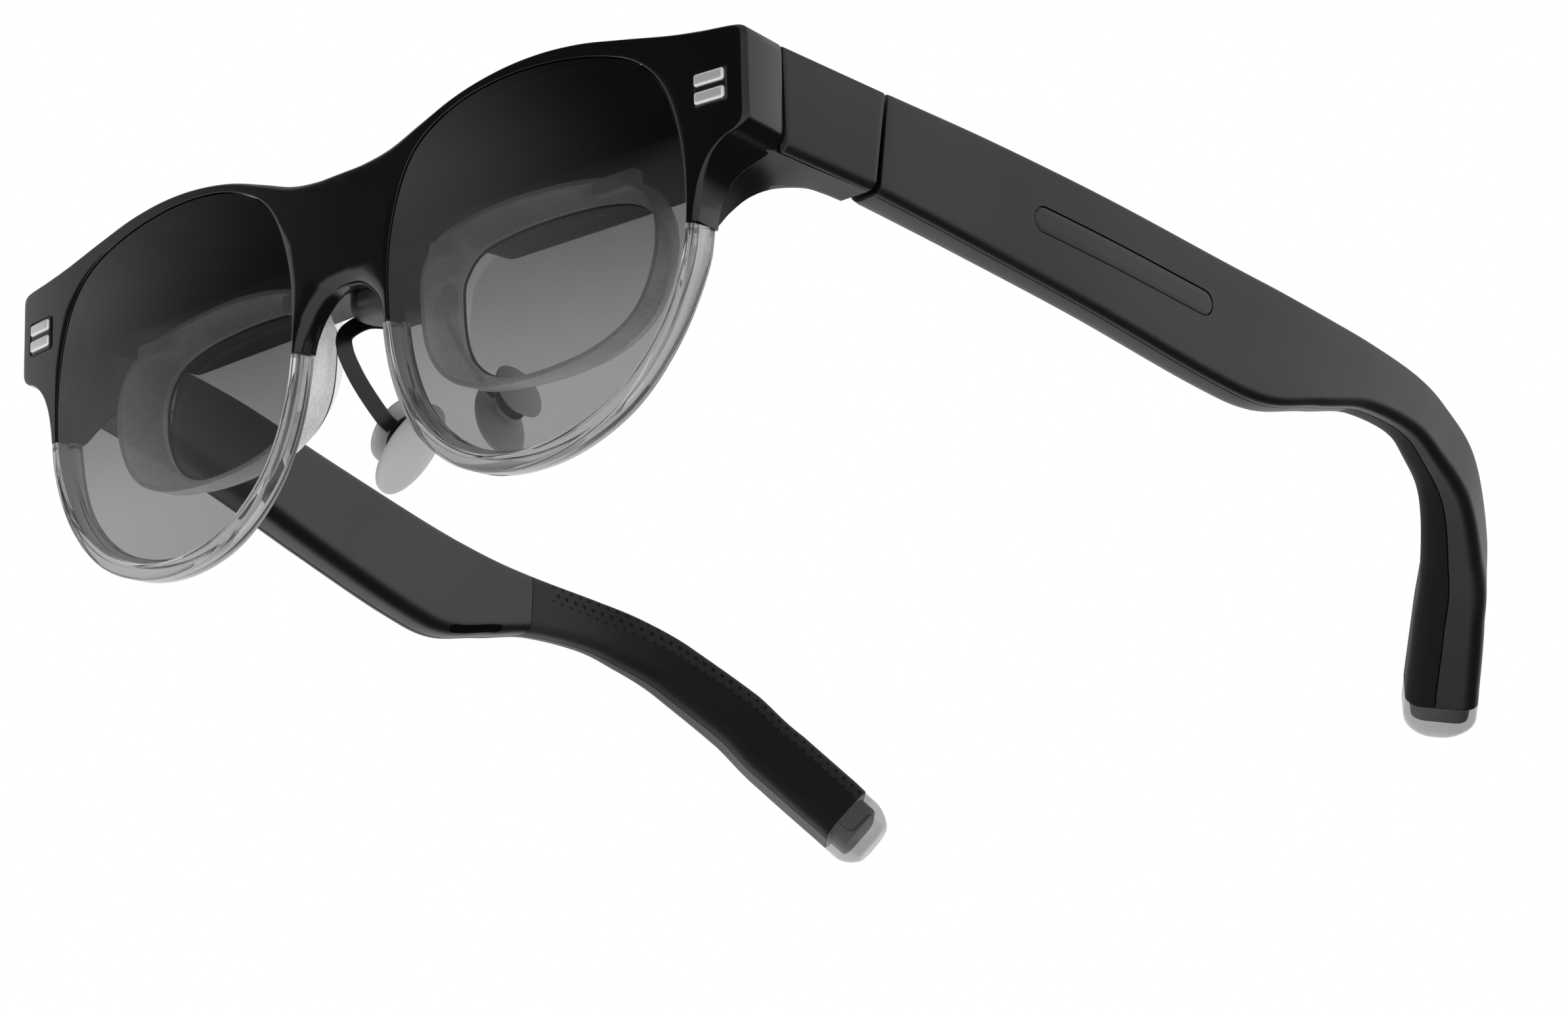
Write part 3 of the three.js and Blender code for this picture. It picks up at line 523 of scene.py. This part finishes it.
case_top = through([(8.8, -8), (9.9, -3), (15, 0.4), (24, 2.5), (34, 3.6), (46, 3), (55, 0.6), (61, -3),
                    (61.9, -8)], 70)
case_low = [(61.9, -9.6), (61.4, -10.4), (60.4, -10.6), (10.2, -10.6), (9.2, -10.4), (8.8, -9.6)]
case_outline = np.vstack([case_top, case_low])
for side, mirror in both_sides:
    points, faces = slab(case_outline, 3.75, 24, 0.5)
    build(side + "_optics_case", points, faces, face, "front", ["optics_housing"] if side == "left" else [],
          black_satin, mirror)
bridge_outline = [(-9.6, -3.6), (-9.6, -12.6), (-8.8, -14.2), (-7.2, -14.6), (7.2, -14.6), (8.8, -14.2),
                  (9.6, -12.6), (9.6, -3.6)]
points, faces = slab(bridge_outline, 3.75, 15, 0.8, bowed=False)
build("bridge_case", points, faces, face, "front", [], black_satin)
boss_profile = [(5.6, -14.0), (5.6, -18.2), (5.4, -19.0), (4.8, -19.55), (3.9, -19.8), (2.6, -19.86),
                (1.2, -19.86), (0.3, -19.86)]
boss_middle = 9.6
full_turn = np.linspace(0, 2 * math.pi, 48, endpoint=False)
boss_rings = [[(r * math.cos(a), boss_middle + r * math.sin(a), z) for a in full_turn]
              for r, z in boss_profile]
points, faces = loft(boss_rings)
build("bridge_boss", points, faces, face, "front", [], black_satin)

# ---------------------------------------------------------------- see-through display optics
# Behind each lens a milky clear cup flares in to a window, and the window's plate leans back up to
# the housing. Clear moulded plastic, fixed under the housing.
# The milky finish's emission is a painted glow, since the cup is no lamp, and its strong cloudy change of
# tone is a painted blurred reflection.
milky = finish("milky_clear", (0.85, 0.85, 0.85), 0.15, 0.75, Alpha=0.72, IOR=1.45,
               Emission_Color=(1, 1, 1, 1), Emission_Strength=0.12)
window_clear = finish("window_clear", (0.75, 0.76, 0.76), 0.08, 0.02, Alpha=0.14, IOR=1.45)
cup_edge = through([(11.4, -20), (12.4, -28), (16.2, -33.2), (22.5, -36), (33, -37), (44, -36),
                    (51.6, -32.5), (55.4, -26), (55.6, -19.5), (52, -14.6), (43, -11.9), (28, -11.0),
                    (16.2, -12.6), (12.4, -15.8)], 120, closed=True)
window_edge = through([(13.3, -20), (14.2, -27.2), (17.4, -31.4), (23.2, -33.6), (33, -34.5), (42.6, -33.6),
                       (48.4, -30.6), (51.2, -25.4), (51.3, -19.8), (48.4, -15.9), (41, -13.7), (28, -13.1),
                       (17.8, -14.2), (14.2, -16.8)], 120, closed=True)


def between_edges(share, y, out=0.0):
    """A ring that is part of the way from the cup's edge to the window's."""
    flat = grown(cup_edge * (1 - share) + window_edge * share, out)
    return [(p[0], y + bow(p[0]), p[1]) for p in flat]


cup_profile = [(0, 4.7, -0.7), (0, 4.5, -0.3), (0, 4.7, 0), (0, 7.6, 0), (0.25, 9.6, 0), (0.65, 10.6, 0),
               (1, 10.9, 0.2), (1, 10.4, 0), (1, 9.9, 0), (0.65, 9.3, 0), (0.3, 7.9, 0), (0.14, 6.2, 0),
               (0.06, 5.0, -0.6)]
cup_rings = [between_edges(*step) for step in cup_profile]
plate = grown(window_edge, -0.05)
plate_front, plate_lean, window_low = 9.9, 0.16, -34.5
plate_rings = []
for y, inset in ((0.0, 0.3), (0.12, 0.05), (0.9, 0.0), (1.1, 0.3)):
    plate_rings.append([(p[0], plate_front + plate_lean * (p[1] - window_low) + y + bow(p[0]), p[1])
                        for p in grown(plate, -inset)])
tabs = (("outer", (8, 2.2, 2.4), (47.6, 5.9, -13.4)), ("inner", (4.6, 2.2, 2.8), (15.4, 5.6, -14.6)))
for side, mirror in both_sides:
    points, faces = loft(cup_rings, closed=True)
    build(side + "_display_cup", points, faces, face, "front", [side + "_combiner"], milky,
          mirror)
    for end, tab_size, (x, y, z) in tabs:
        bar_blank(f"{side}_cup_tab_{end}", tab_size, (x, y + float(bow(x)), z), 0.7, 0.3, "front", [],
                  milky, mirror)
    points, faces = loft(plate_rings)
    build(side + "_window_plate", points, faces, face, "front", [side + "_beam_splitter"],
          window_clear, mirror)

# A thin black ring runs round each window, where the cup is bonded to the plate: a dark ring of painted
# shade that stands in for the shaded edge of the window.
window_edge_shade_finish = finish("window_edge_shade", (0.01, 0.01, 0.01), 0.4, 0.1, 0.1, 0.3)
edge_shade_rings = [between_edges(1, y, out) for out, y in ((0.18, 10.95), (0.144, 11.25), (-0.144, 11.25),
                                                        (-0.18, 10.95))]
for side, mirror in both_sides:
    points, faces = loft(edge_shade_rings, closed=True)
    build(side + "_window_edge_shade", points, faces, face, "front", [], window_edge_shade_finish, mirror)

# ---------------------------------------------------------------- nose bracket
# One bent strip of black coated metal: a crossbar screwed behind the boss, and an arm to each pad.
nose_metal = finish("nose_metal", (0.004, 0.004, 0.004), 0.32, 0.06, 0.12, 0.2)
pad_centre = Vector((8.9, 21.3, -34.5))
pad_long = Vector((-0.58, 0.42, 1)).normalized()
pad_across = pad_long.cross(Vector((0.86, 0, 0.5))).normalized()
pad_normal = pad_across.cross(pad_long).normalized()
ring_centre = pad_centre + pad_normal * 3.1 + pad_long * 1.2
arm_route = through([(3.6, 16.4, -17.4), (6.6, 15.6, -17.3), (8.8, 12.9, -17.4), (10.3, 10.4, -19.4),
                     (10.4, 10.3, -21.8), (10.5, 12.1, -24.7), (10.55, 14.5, -27.4), (10.4, 17.4, -30.3),
                     tuple(ring_centre - pad_across * 2.9)], 60)
strip_facing = Vector((0.55, 0.6, 0.2)).normalized()
half_wide, half_thick, broken = 1.15, 0.42, 0.12
strip_section = ((-half_wide + broken, -half_thick), (half_wide - broken, -half_thick),
                 (half_wide, -half_thick + broken), (half_wide, half_thick - broken),
                 (half_wide - broken, half_thick), (-half_wide + broken, half_thick),
                 (-half_wide, half_thick - broken), (-half_wide, -half_thick + broken))
nose_arm_rings = []
for p, d in zip(arm_route, np.gradient(arm_route, axis=0)):
    ahead = Vector(d).normalized()
    wide = ahead.cross(strip_facing).normalized()
    thin = wide.cross(ahead).normalized()
    nose_arm_rings.append([tuple(Vector(p) + wide * a + thin * b) for a, b in strip_section])


def pad_ring(centre, along, radius, count, across=1.0, long=1.0):
    """An oval ring round the pad's axis, a distance along that axis from a centre."""
    middle_of_ring = centre + pad_normal * along
    turns = np.linspace(0, 2 * math.pi, count, endpoint=False)
    return [tuple(middle_of_ring + (pad_across * math.cos(a) * across
                                    + pad_long * math.sin(a) * long) * radius) for a in turns]


clip_profile = ((-0.45, 2.4), (-0.45, 2.9), (-0.3, 3.0), (0.3, 3.0), (0.45, 2.9), (0.45, 2.4))
clip_rings = [pad_ring(ring_centre, along, r, 40, across=0.8, long=1.1) for along, r in clip_profile]
for side, mirror in both_sides:
    points, faces = loft(nose_arm_rings)
    build(side + "_nose_arm", points, faces, face, "front", ["nose_bracket"] if side == "left" else [],
          nose_metal, mirror, smooth=30)
    points, faces = loft(clip_rings, closed=True)
    build(side + "_pad_clip", points, faces, face, "front", [], nose_metal, mirror)
points, faces = slab([(-5, -18.7), (5, -18.7), (5, -16.1), (-5, -16.1)], 15.6, 16.7, 0.15, bowed=False)
build("nose_crossbar", points, faces, face, "front", [], nose_metal)

# ---------------------------------------------------------------- nose pads
# Milky silicone, moulded round the clip: a long face pad that touches the nose, a neck through the
# clip, and a smaller back flange.
silicone = finish("silicone", (0.76, 0.75, 0.735), 0.45, 0.03, 0.05, 0.3)


def lobe(centre, half_long, half_wide, half_thick, bend):
    """A flat oval pillow in the pad's own directions, bent by an amount at its edges."""
    rings = []
    for v in np.linspace(0.03, math.pi - 0.03, 26):
        ring = []
        for a in np.linspace(0, 2 * math.pi, 40, endpoint=False):
            x = math.copysign(abs(math.cos(a)) ** 0.85, math.cos(a)) * math.sin(v) ** 0.85 * half_wide
            n = math.sin(a) * math.sin(v) * half_thick
            z = math.cos(v) * half_long
            n += bend * ((z / half_long) ** 2 + (x / half_wide) ** 2)
            ring.append(tuple(centre + pad_across * x + pad_normal * n + pad_long * z))
        rings.append(ring)
    return loft(rings)


neck_profile = ((0.6, 1.7), (2.4, 1.5), (3.8, 1.5), (5.2, 1.7))
for side, mirror in both_sides:
    points, faces = lobe(pad_centre - pad_normal * 0.2, 7.2, 4.0, 1.55, 0.5)
    build(side + "_pad_face", points, faces, face, side + "_pad", [side + "_nose_pad"],
          silicone, mirror)
    points, faces = lobe(pad_centre + pad_normal * 5.3 + pad_long * 1.5, 5.0, 3.8, 0.9, -0.3)
    build(side + "_pad_flange", points, faces, face, side + "_pad", [], silicone, mirror)
    points, faces = loft([pad_ring(pad_centre + pad_long * 1.2, along, r, 24) for along, r in neck_profile])
    build(side + "_pad_neck", points, faces, face, side + "_pad", [], silicone, mirror)

# ---------------------------------------------------------------- side arms
# Satin black plastic between the front and each temple: an outer skin with a soft lower edge, and
# an inner liner whose underside sweeps down behind the rim as a gusset with a turned lip.
arm_start, arm_end = 10.3, 27.2
arm_long = arm_end - arm_start
arm_low, arm_top = -13.4, 0.7
soft_edge, crisp_edge = 1.3, 0.4
skin = 1.35


def arm_outside(y):
    """The outer face starts flush with the endpiece and spreads a little towards the temple."""
    return 74.93 + 2.57 * (y - arm_start) / arm_long


def arm_section(trim):
    """Depth from the outer face and height, from the lower inner corner round to the upper one."""
    section = [(skin, arm_low + trim), (soft_edge, arm_low + trim)]
    for a in np.radians(np.linspace(0, 90, 9)):
        drawn_in, risen = trim * math.sin(a), trim * math.cos(a)
        section.append((soft_edge * (1 - math.sin(a)) + drawn_in,
                        arm_low + soft_edge * (1 - math.cos(a)) + risen))
    for a in np.radians(np.linspace(0, 90, 6)):
        drawn_in, lowered = trim * math.cos(a), trim * math.sin(a)
        section.append((crisp_edge * (1 - math.cos(a)) + drawn_in,
                        arm_top - crisp_edge * (1 - math.sin(a)) - lowered))
    return section + [(skin, arm_top - trim)]


# How far along the arm each ring is, and how much it is drawn in to round the ends.
arm_steps = [(0, 0.1), (0.08, 0.02), (0.25, 0)]
arm_steps += [(d, 0) for d in np.linspace(0.8, arm_long - 0.8, 12)]
arm_steps += [(arm_long - 0.25, 0), (arm_long - 0.08, 0.06), (arm_long, 0.2)]
arm_rings = []
for d, trim in arm_steps:
    ring = []
    for depth, z in arm_section(trim):
        front_edge = (arm_start - 0.02 - z * math.sin(front_lean)) / math.cos(front_lean)
        y = front_edge + (arm_end - front_edge) * d / arm_long
        ring.append((arm_outside(y) - depth, y, z))
    arm_rings.append(ring)

# The underside runs from a line hidden behind the endpiece and the skin to the turned lip.
hidden_edge = through([(65.4, 8.0, -22.4), (65.9, 8.6, -19.8), (66.9, 9.5, -16.6), (69.2, 10.5, -13.9),
                       (72.4, 11.6, -13.1), (73.8, 14.2, -13.36), (74.4, 18, -13.38),
                       (arm_outside(arm_end) - skin - 0.1, arm_end, -13.38)], 60)
lip = through([(65.3, 10.0, -23.6), (65.1, 11.6, -22.2), (65.3, 13.4, -19.4), (65.9, 15.9, -16.3),
               (67.3, 18.6, -14.3), (69.6, 21.6, -13.5), (70.6, 24.2, -13.4), (71.2, arm_end, -13.4)], 60)
lip_profile = ((-0.12, 0.06, 0.12), (-0.12, 0.06, 0.5), (0.08, 0.02, 0.62), (0.08, 0.02, 0.8),
               (-0.05, 0.03, 0.95))
lip_top, wall_top = 1.2, 0.65
gusset_rings = []
for i, (a, b) in enumerate(zip(hidden_edge, lip)):
    hollow = 0.9 * math.sin(math.pi * min(1, i / 34))
    ring = []
    for t in np.linspace(0, 1, 9):
        p = a * (1 - t) + b * t
        ring.append((p[0], p[1], p[2] + hollow * math.sin(math.pi * t)))
    ring += [tuple(b + step) for step in lip_profile]
    reach = min(1, i / 14)
    top = b[2] + lip_top + (wall_top - b[2] - lip_top) * (reach * reach * (3 - 2 * reach))
    ring += [(b[0], b[1], top - 0.15), (b[0] + 0.15, b[1], top)]
    ring += [(max(a[0] - 0.2, b[0] + 0.4), a[1] + (b[1] - a[1]) * 0.2, top)]
    ring += [(max(a[0] - 0.1, b[0] + 0.45), a[1] + 0.1, top - 0.3)]
    gusset_rings.append(ring)
for side, mirror in both_sides:
    points, faces = loft(arm_rings)
    build(side + "_arm_skin", points, faces, worn, "front", [side + "_side_arm"],
          black_satin, mirror)
    points, faces = loft(gusset_rings)
    build(side + "_arm_gusset", points, faces, worn, "front", [side + "_arm_liner"],
          black_satin, mirror, smooth=50)

# ---------------------------------------------------------------- temples
# Each temple is an outer shell of satin black plastic with a soft lower edge, parted along the
# underside from a thinner inner cover, which gives way to a dimpled soft grip over the ear.
# Each bend gives the place of the outer top edge, then height, thickness and depth of the parting.
temple_bends = np.array([
    (77.5, 27.7, 0.9, 14.4, 7.3, 1.4),
    (79.8, 46, 1.3, 15.8, 6.8, 1.4),
    (83, 66, 0.6, 16.9, 6.4, 1.4),
    (85.8, 88, -0.5, 17.9, 6.2, 1.5),
    (87.1, 99, -0.9, 17.3, 6.2, 1.7),
    (87.9, 109, -1.2, 13.4, 6.2, 2),
    (87.9, 119, -1.1, 9.9, 5.8, 2.3),
    (86.9, 131, -1, 8.6, 5.6, 2.5),
    (85.3, 140, -1.9, 8.9, 6.2, 2.9),
    (82.6, 150.9, -4.8, 9.1, 7.6, 3.8),
    (76.7, 162.6, -11.2, 9.6, 9.3, 5),
    (71.2, 170.1, -17.6, 10, 10.5, 5.9),
    (64.7, 177.8, -24.8, 10, 11, 6.5),
    (59.8, 182.9, -29.8, 10, 11, 6.5)])
cap_start, temple_tip = 12.25, 13.0
inner_seam = 5.8
parting_gap = 0.07


def at_bend(u):
    """Everything about the temple at bend number u, smoothly between the listed bends."""
    before, after = 2 * temple_bends[0] - temple_bends[1], 2 * temple_bends[-1] - temple_bends[-2]
    padded_bends = np.vstack([before, temple_bends, after])
    i = min(int(max(u, 0)), len(temple_bends) - 2)
    t = u - i
    a, b, c, d = padded_bends[i:i + 4]
    return b + 0.5 * t * (c - a + t * (2 * a - 5 * b + 4 * c - d + t * (3 * (b - c) + d - a)))


def temple_frame(u):
    """The middle of the outer face at bend number u, and the directions inward and up there."""
    here = at_bend(u)
    ahead = Vector((at_bend(u + 0.01) - at_bend(u - 0.01))[:3]).normalized()
    inward = Vector((0, 0, 1)).cross(ahead).normalized()
    up = ahead.cross(inward).normalized()
    return Vector(here[:3]) - up * here[3] / 2, inward, up


def on_temple(u, depth, height):
    """A point at a depth from the outer face and a height from the middle of the section."""
    origin, inward, up = temple_frame(u)
    tall, thick = at_bend(u)[3:5]
    narrowing = 2 * min(1, max(0, 1 - (u - 4) / 4))
    lean = narrowing * (depth / thick) * (0.5 + height / tall)
    return origin + inward * (depth - lean) + up * height


def corner_points(x, y, r, start, steps):
    """A quarter circle, anticlockwise from a start angle in degrees."""
    angles = [math.radians(start + 90 * k / steps) for k in range(steps + 1)]
    return [(x + r * math.cos(a), y + r * math.sin(a)) for a in angles]


def rounded_section(near, far, low, high, radii):
    """A rounded rectangle: radii run low-near, low-far, high-far, high-near."""
    a, b, c, d = radii
    section = corner_points(near + a, low + a, a, 180, 6) + corner_points(far - b, low + b, b, 270, 6)
    section += [(far, low + b + (high - c - low - b) * t) for t in (0.1, 0.35, 0.65, 0.9)]
    return section + corner_points(far - c, high - c, c, 0, 6) + corner_points(near + d, high - d, d, 90, 6)


def temple_strip(start, stop, count, section, round_ends, close_up_at=()):
    """Rings along the temple, drawn in at both ends so that the end edges are rounded."""
    bends = list(np.linspace(start, stop, count))
    for busy in close_up_at:
        bends += list(np.linspace(busy - 0.05, busy + 0.05, 40))
    first, last = round_ends
    millimetre = 0.05 / (temple_frame(start + 0.05)[0] - temple_frame(start)[0]).length
    opening = [(start + share * first * millimetre, first * draw)
               for share, draw in ((0, 1), (0.1, 0.55), (0.4, 0.15))]
    millimetre = 0.05 / (temple_frame(stop)[0] - temple_frame(stop - 0.05)[0]).length
    closing = [(stop - share * last * millimetre, last * draw)
               for share, draw in ((0.4, 0.15), (0.1, 0.55), (0, 1))]
    between = [(u, 0) for u in sorted(bends) if start + first * millimetre < u < stop - last * millimetre]
    rings, uv, along = [], [], 0
    before = None
    for u, draw in opening + between + closing:
        flat = section(u, draw)
        rings.append([tuple(on_temple(u, d, h)) for d, h in flat])
        middle_now = temple_frame(u)[0]
        along += (middle_now - before).length if before else 0
        before = middle_now
        steps = np.linalg.norm(np.diff(np.array(flat), axis=0), axis=1)
        round_it = np.concatenate([[0], np.cumsum(steps)])
        uv += [(along, round_it[-1] - r) for r in round_it]
    points, faces = loft(rings)
    return points, faces, uv


# The touch strip's round ends are centred at these bend numbers, this far below the top edge.
touch_front, touch_back, touch_middle = 1.505, 2.826, 7.86
millimetres_per_bend = 21.3
recess_radius, recess_depth = 1.9, 0.45


def touch_half(u, r):
    """Half the height of the touch strip's round-ended outline at bend number u."""
    short = max(0, touch_front - u, u - touch_back) * millimetres_per_bend
    return math.sqrt(max(0, r * r - short * short))


def shell_section(recess):
    """The outer shell's section, with a recess of this radius for the touch strip, or none."""
    def section(u, draw):
        tall, part = at_bend(u)[3], at_bend(u)[5]
        half = tall / 2 - draw
        low_r = min(1.2 + 0.25 * max(0, part - 1.4), part - 0.15, 2.4)
        top_r = min(0.7, part - 0.3)
        flat = [(part - parting_gap, -half), (low_r + 0.12, -half)]
        flat += corner_points(low_r + draw, -half + low_r, low_r, 180, 8)[::-1]
        reach = touch_half(u, recess) if recess else 0
        sink = recess_depth * min(1, reach / 0.25)
        down_the_face = [(12.5, 0), (11, 0), (touch_middle + reach + 0.07, 0)]
        down_the_face += [(touch_middle + reach * share, sink) for share in (1, 0.4, -0.4, -1)]
        down_the_face += [(touch_middle - reach - 0.07, 0), (4.5, 0), (3, 0)]
        for down, sunk_by in down_the_face:
            h = min(max(tall / 2 - down, -half + low_r + 0.01), half - top_r - 0.01)
            flat.append((draw + sunk_by, h))
        flat += corner_points(top_r + draw, half - top_r, top_r, 90, 6)[::-1]
        return flat + [(part - parting_gap, half)]
    return section


def low_edge_radius(u):
    thick, part = at_bend(u)[4:6]
    return min(3.2, 0.55 * (thick - part))


def inner_section(u, draw):
    """The section of the inner cover and the grip, from the parting to the inner face."""
    tall, thick, part = at_bend(u)[3:6]
    half = tall / 2 - draw
    radii = (0.1, low_edge_radius(u), min(2.6, 0.45 * (thick - part)), 0.1)
    return rounded_section(part + parting_gap, thick - draw, -half, half, radii)


# The soft grip has a fine matt skin, with staggered rows of small dimples along its upper and inner side.
# Its colour is painted paler near the seam (painted light), paler over the dimpled band (painted sheen) and
# darker in each dimple (painted shade).
soft_grip = finish("soft_grip", (0.0075, 0.0075, 0.0076), 0.50, 0.08, 0.3, 0.2, Specular_IOR_Level=0.12)
grip_tree = soft_grip.node_tree
grip_shader = grip_tree.nodes["Principled BSDF"]
spot_wire = Wire(grip_tree, None)
surface = spot_wire.node("UVMap", {"uv_map": "surface"})
row_pitch, dimple_pitch = 1.4, 1.9
rows = surface.part("Y") / row_pitch
row = rows.maths("FLOOR", rows)
shifted = surface.part("X") / dimple_pitch + 0.5 * row.maths("MODULO", row, 2.0)
spot_x = (shifted.maths("FRACT", shifted) - 0.5) * dimple_pitch
spot_y = (rows.maths("FRACT", rows) - 0.5) * row_pitch
distance = (spot_x * spot_x + spot_y * spot_y) ** 0.5
down_side = surface.part("Y")
dimpled = down_side.between(1.2, 1.3) * (1 - down_side.between(6.2, 6.3))
dimpled = dimpled * surface.part("X").between(4.0, 4.6)
dimple = (1 - distance.between(0.26, 0.38)) * dimpled
tone_link = next(link for link in grip_tree.links if link.to_socket == grip_shader.inputs["Base Color"])
# Painted light: the grip's colour is paler towards its front end, next to the seam.
painted_light_near_seam = 1 - surface.part("X").between(2.0, 30.0)
grip_tone = painted_light_near_seam.blend(Wire(grip_tree, tone_link.from_socket), (0.034, 0.034, 0.034, 1))
# Painted sheen: the dimpled band is painted paler.
grip_tone = (dimpled * (1 - painted_light_near_seam)).blend(grip_tone, (0.02, 0.02, 0.02, 1))
# Painted shade: each dimple is painted darker.
grip_tone = dimple.blend(grip_tone, (0.001, 0.001, 0.001, 1))
grip_tree.links.new(grip_tone.socket, grip_shader.inputs["Base Color"])
grain_link = next(link for link in grip_tree.links if link.to_socket == grip_shader.inputs["Normal"])
sunk = spot_wire.node("Bump", {"invert": True}, {"Height": dimple, "Strength": 1.0, "Distance": 0.0002,
                                                 "Normal": Wire(grip_tree, grain_link.from_socket)})
grip_tree.links.new(sunk.socket, grip_shader.inputs["Normal"])
clear_tip = finish("clear_tip", (0.10, 0.10, 0.10), 0.05, 0.02, Alpha=0.46, IOR=1.7)
touch_finish = finish("touch_surface", (0.0055, 0.0055, 0.0056), 0.34, 0.06, 0.2, 0.14)
slot_finish = finish("speaker_slot", (0.002, 0.002, 0.002), 0.7, 0.1, 0.4, 0.25, Specular_IOR_Level=0.05)


def cap_section(u, draw):
    """The clear tip's section, which starts like the grip's and is drawn in round the end."""
    tall, thick = at_bend(u)[3:5]
    straight = 0.30
    round_off = max(0, (u - cap_start - straight) / (temple_tip - cap_start - straight))
    pinch = (1 - math.sqrt(max(0.0, 1 - 0.5 * round_off ** 2))) * tall / 2 + draw
    most = min(3.4, tall / 2 - pinch - 0.1)
    radii = [min(most, r + (3.4 - r) * round_off) for r in (2.4, low_edge_radius(u), 2.6, 0.7)]
    return rounded_section(pinch, thick - pinch, -tall / 2 + pinch, tall / 2 - pinch, radii)


def core_section(u, draw):
    """The black plug that holds the clear tip, inside it."""
    tall, thick = at_bend(u)[3:5]
    inset = 1.1 + draw
    return rounded_section(inset, thick - inset, -tall / 2 + inset, tall / 2 - inset, (2, 2, 2, 2))


def slot_rings():
    """The dark mesh of the speaker slot: a thin strip bent round the lower inner edge."""
    rings = []
    middle_bend, half_span = 4.575, 0.575
    for u in np.linspace(middle_bend - half_span, middle_bend + half_span, 30):
        tall, thick = at_bend(u)[3:5]
        r = low_edge_radius(u)
        fade = 1 - max(0, abs(u - middle_bend) / half_span - 0.9) / 0.1 * 0.6
        ring = []
        for lift, turns in ((0.04, np.linspace(-1, 1, 7)), (-0.1, np.linspace(1, -1, 7))):
            for turn in turns:
                a = math.radians(-38 + 20 * turn * fade)
                ring.append((thick - r + (r + lift) * math.cos(a), -tall / 2 + r + (r + lift) * math.sin(a)))
        rings.append([tuple(on_temple(u, d, h)) for d, h in ring])
    return rings


for side, mirror in both_sides:
    body = side + "_temple"
    outer_section = shell_section(recess_radius if side == "left" else 0)
    points, faces, _ = temple_strip(0, cap_start, 330, outer_section, (0.25, 0.12), close_up_at=(1.45, 2.88))
    build(side + "_temple_skin", points, faces, worn, body, [side + "_temple_shell"],
          black_satin, mirror)
    points, faces, _ = temple_strip(0.0, inner_seam - 0.006, 120, inner_section, (0.5, 0.08))
    build(side + "_temple_inner", points, faces, worn, body, [side + "_temple_cover"],
          black_satin, mirror)
    points, faces, uv = temple_strip(inner_seam + 0.006, cap_start, 150, inner_section, (0.08, 0.12))
    build(side + "_grip_skin", points, faces, worn, body, [side + "_ear_grip"], soft_grip,
          mirror, uv=uv)
    points, faces, _ = temple_strip(cap_start + 0.008, temple_tip, 60, cap_section, (0.05, 0.0))
    build(side + "_clear_tip", points, faces, worn, body, [side + "_tip_cap"], clear_tip,
          mirror, smooth=60)
    points, faces, _ = temple_strip(cap_start + 0.02, cap_start + 0.42, 14, core_section, (0.05, 0.6))
    build(side + "_tip_core", points, faces, worn, body, [], black_satin, mirror)
    points, faces = loft(slot_rings())
    build(side + "_sound_slot", points, faces, worn, body, [side + "_speaker_grille"], slot_finish,
          mirror)

# The touch strip lies in its recess with a fine gap round it, just under flush.
strip_radius = 1.76
strip_profile = ((0.47, -1), (0.12, -1), (0.07, -0.93), (0.07, -0.4), (0.07, 0.4), (0.07, 0.93), (0.12, 1),
                 (0.47, 1))
strip_ends = 1.4222, 2.9088
strip_rings = []
for share_along in 0.5 - 0.5 * np.cos(np.linspace(0, math.pi, 90)):
    u = strip_ends[0] + (strip_ends[1] - strip_ends[0]) * share_along
    reach = touch_half(u, strip_radius)
    middle_line = at_bend(u)[3] / 2 - touch_middle
    strip_rings.append([tuple(on_temple(u, depth, middle_line + side_share * reach))
                        for depth, side_share in strip_profile])
points, faces = loft(strip_rings)
build("touch_strip", points, faces, worn, "left_temple", ["left_touch_pad"], touch_finish)

# ---------------------------------------------------------------- inner parts
# Hinge pieces and screws of plain steel, circuit boards, cells, speakers, panels and field lenses:
# they keep their modelled shapes and get their own finishes.
steel = finish("steel", (0.42, 0.425, 0.43), 0.34, 0.08, 0.1, 0.12, Metallic=1.0)
board_green = finish("board_green", (0.01, 0.055, 0.03), 0.45, 0.25, 0.3, 0.5)
cell_foil = finish("cell_foil", (0.45, 0.455, 0.46), 0.35, 0.08, 0.5, 1.2, Metallic=0.9)
panel_glass = finish("panel_glass", (0.006, 0.007, 0.012), 0.12, 0.1, 0.02, 0.4)
field_clear = finish("field_clear", (0.6, 0.61, 0.62), 0.06, 0.02, Alpha=0.35)
inner_finishes = {"hinge": steel, "screw": steel, "board": board_green, "battery": cell_foil,
                  "display_panel": panel_glass, "field_lens": field_clear, "speaker": nose_metal}
for node_name, node_object in frame["nodes"].items():
    for word, material in inner_finishes.items():
        if word in node_name:
            for material_slot in node_object.material_slots:
                material_slot.material = material
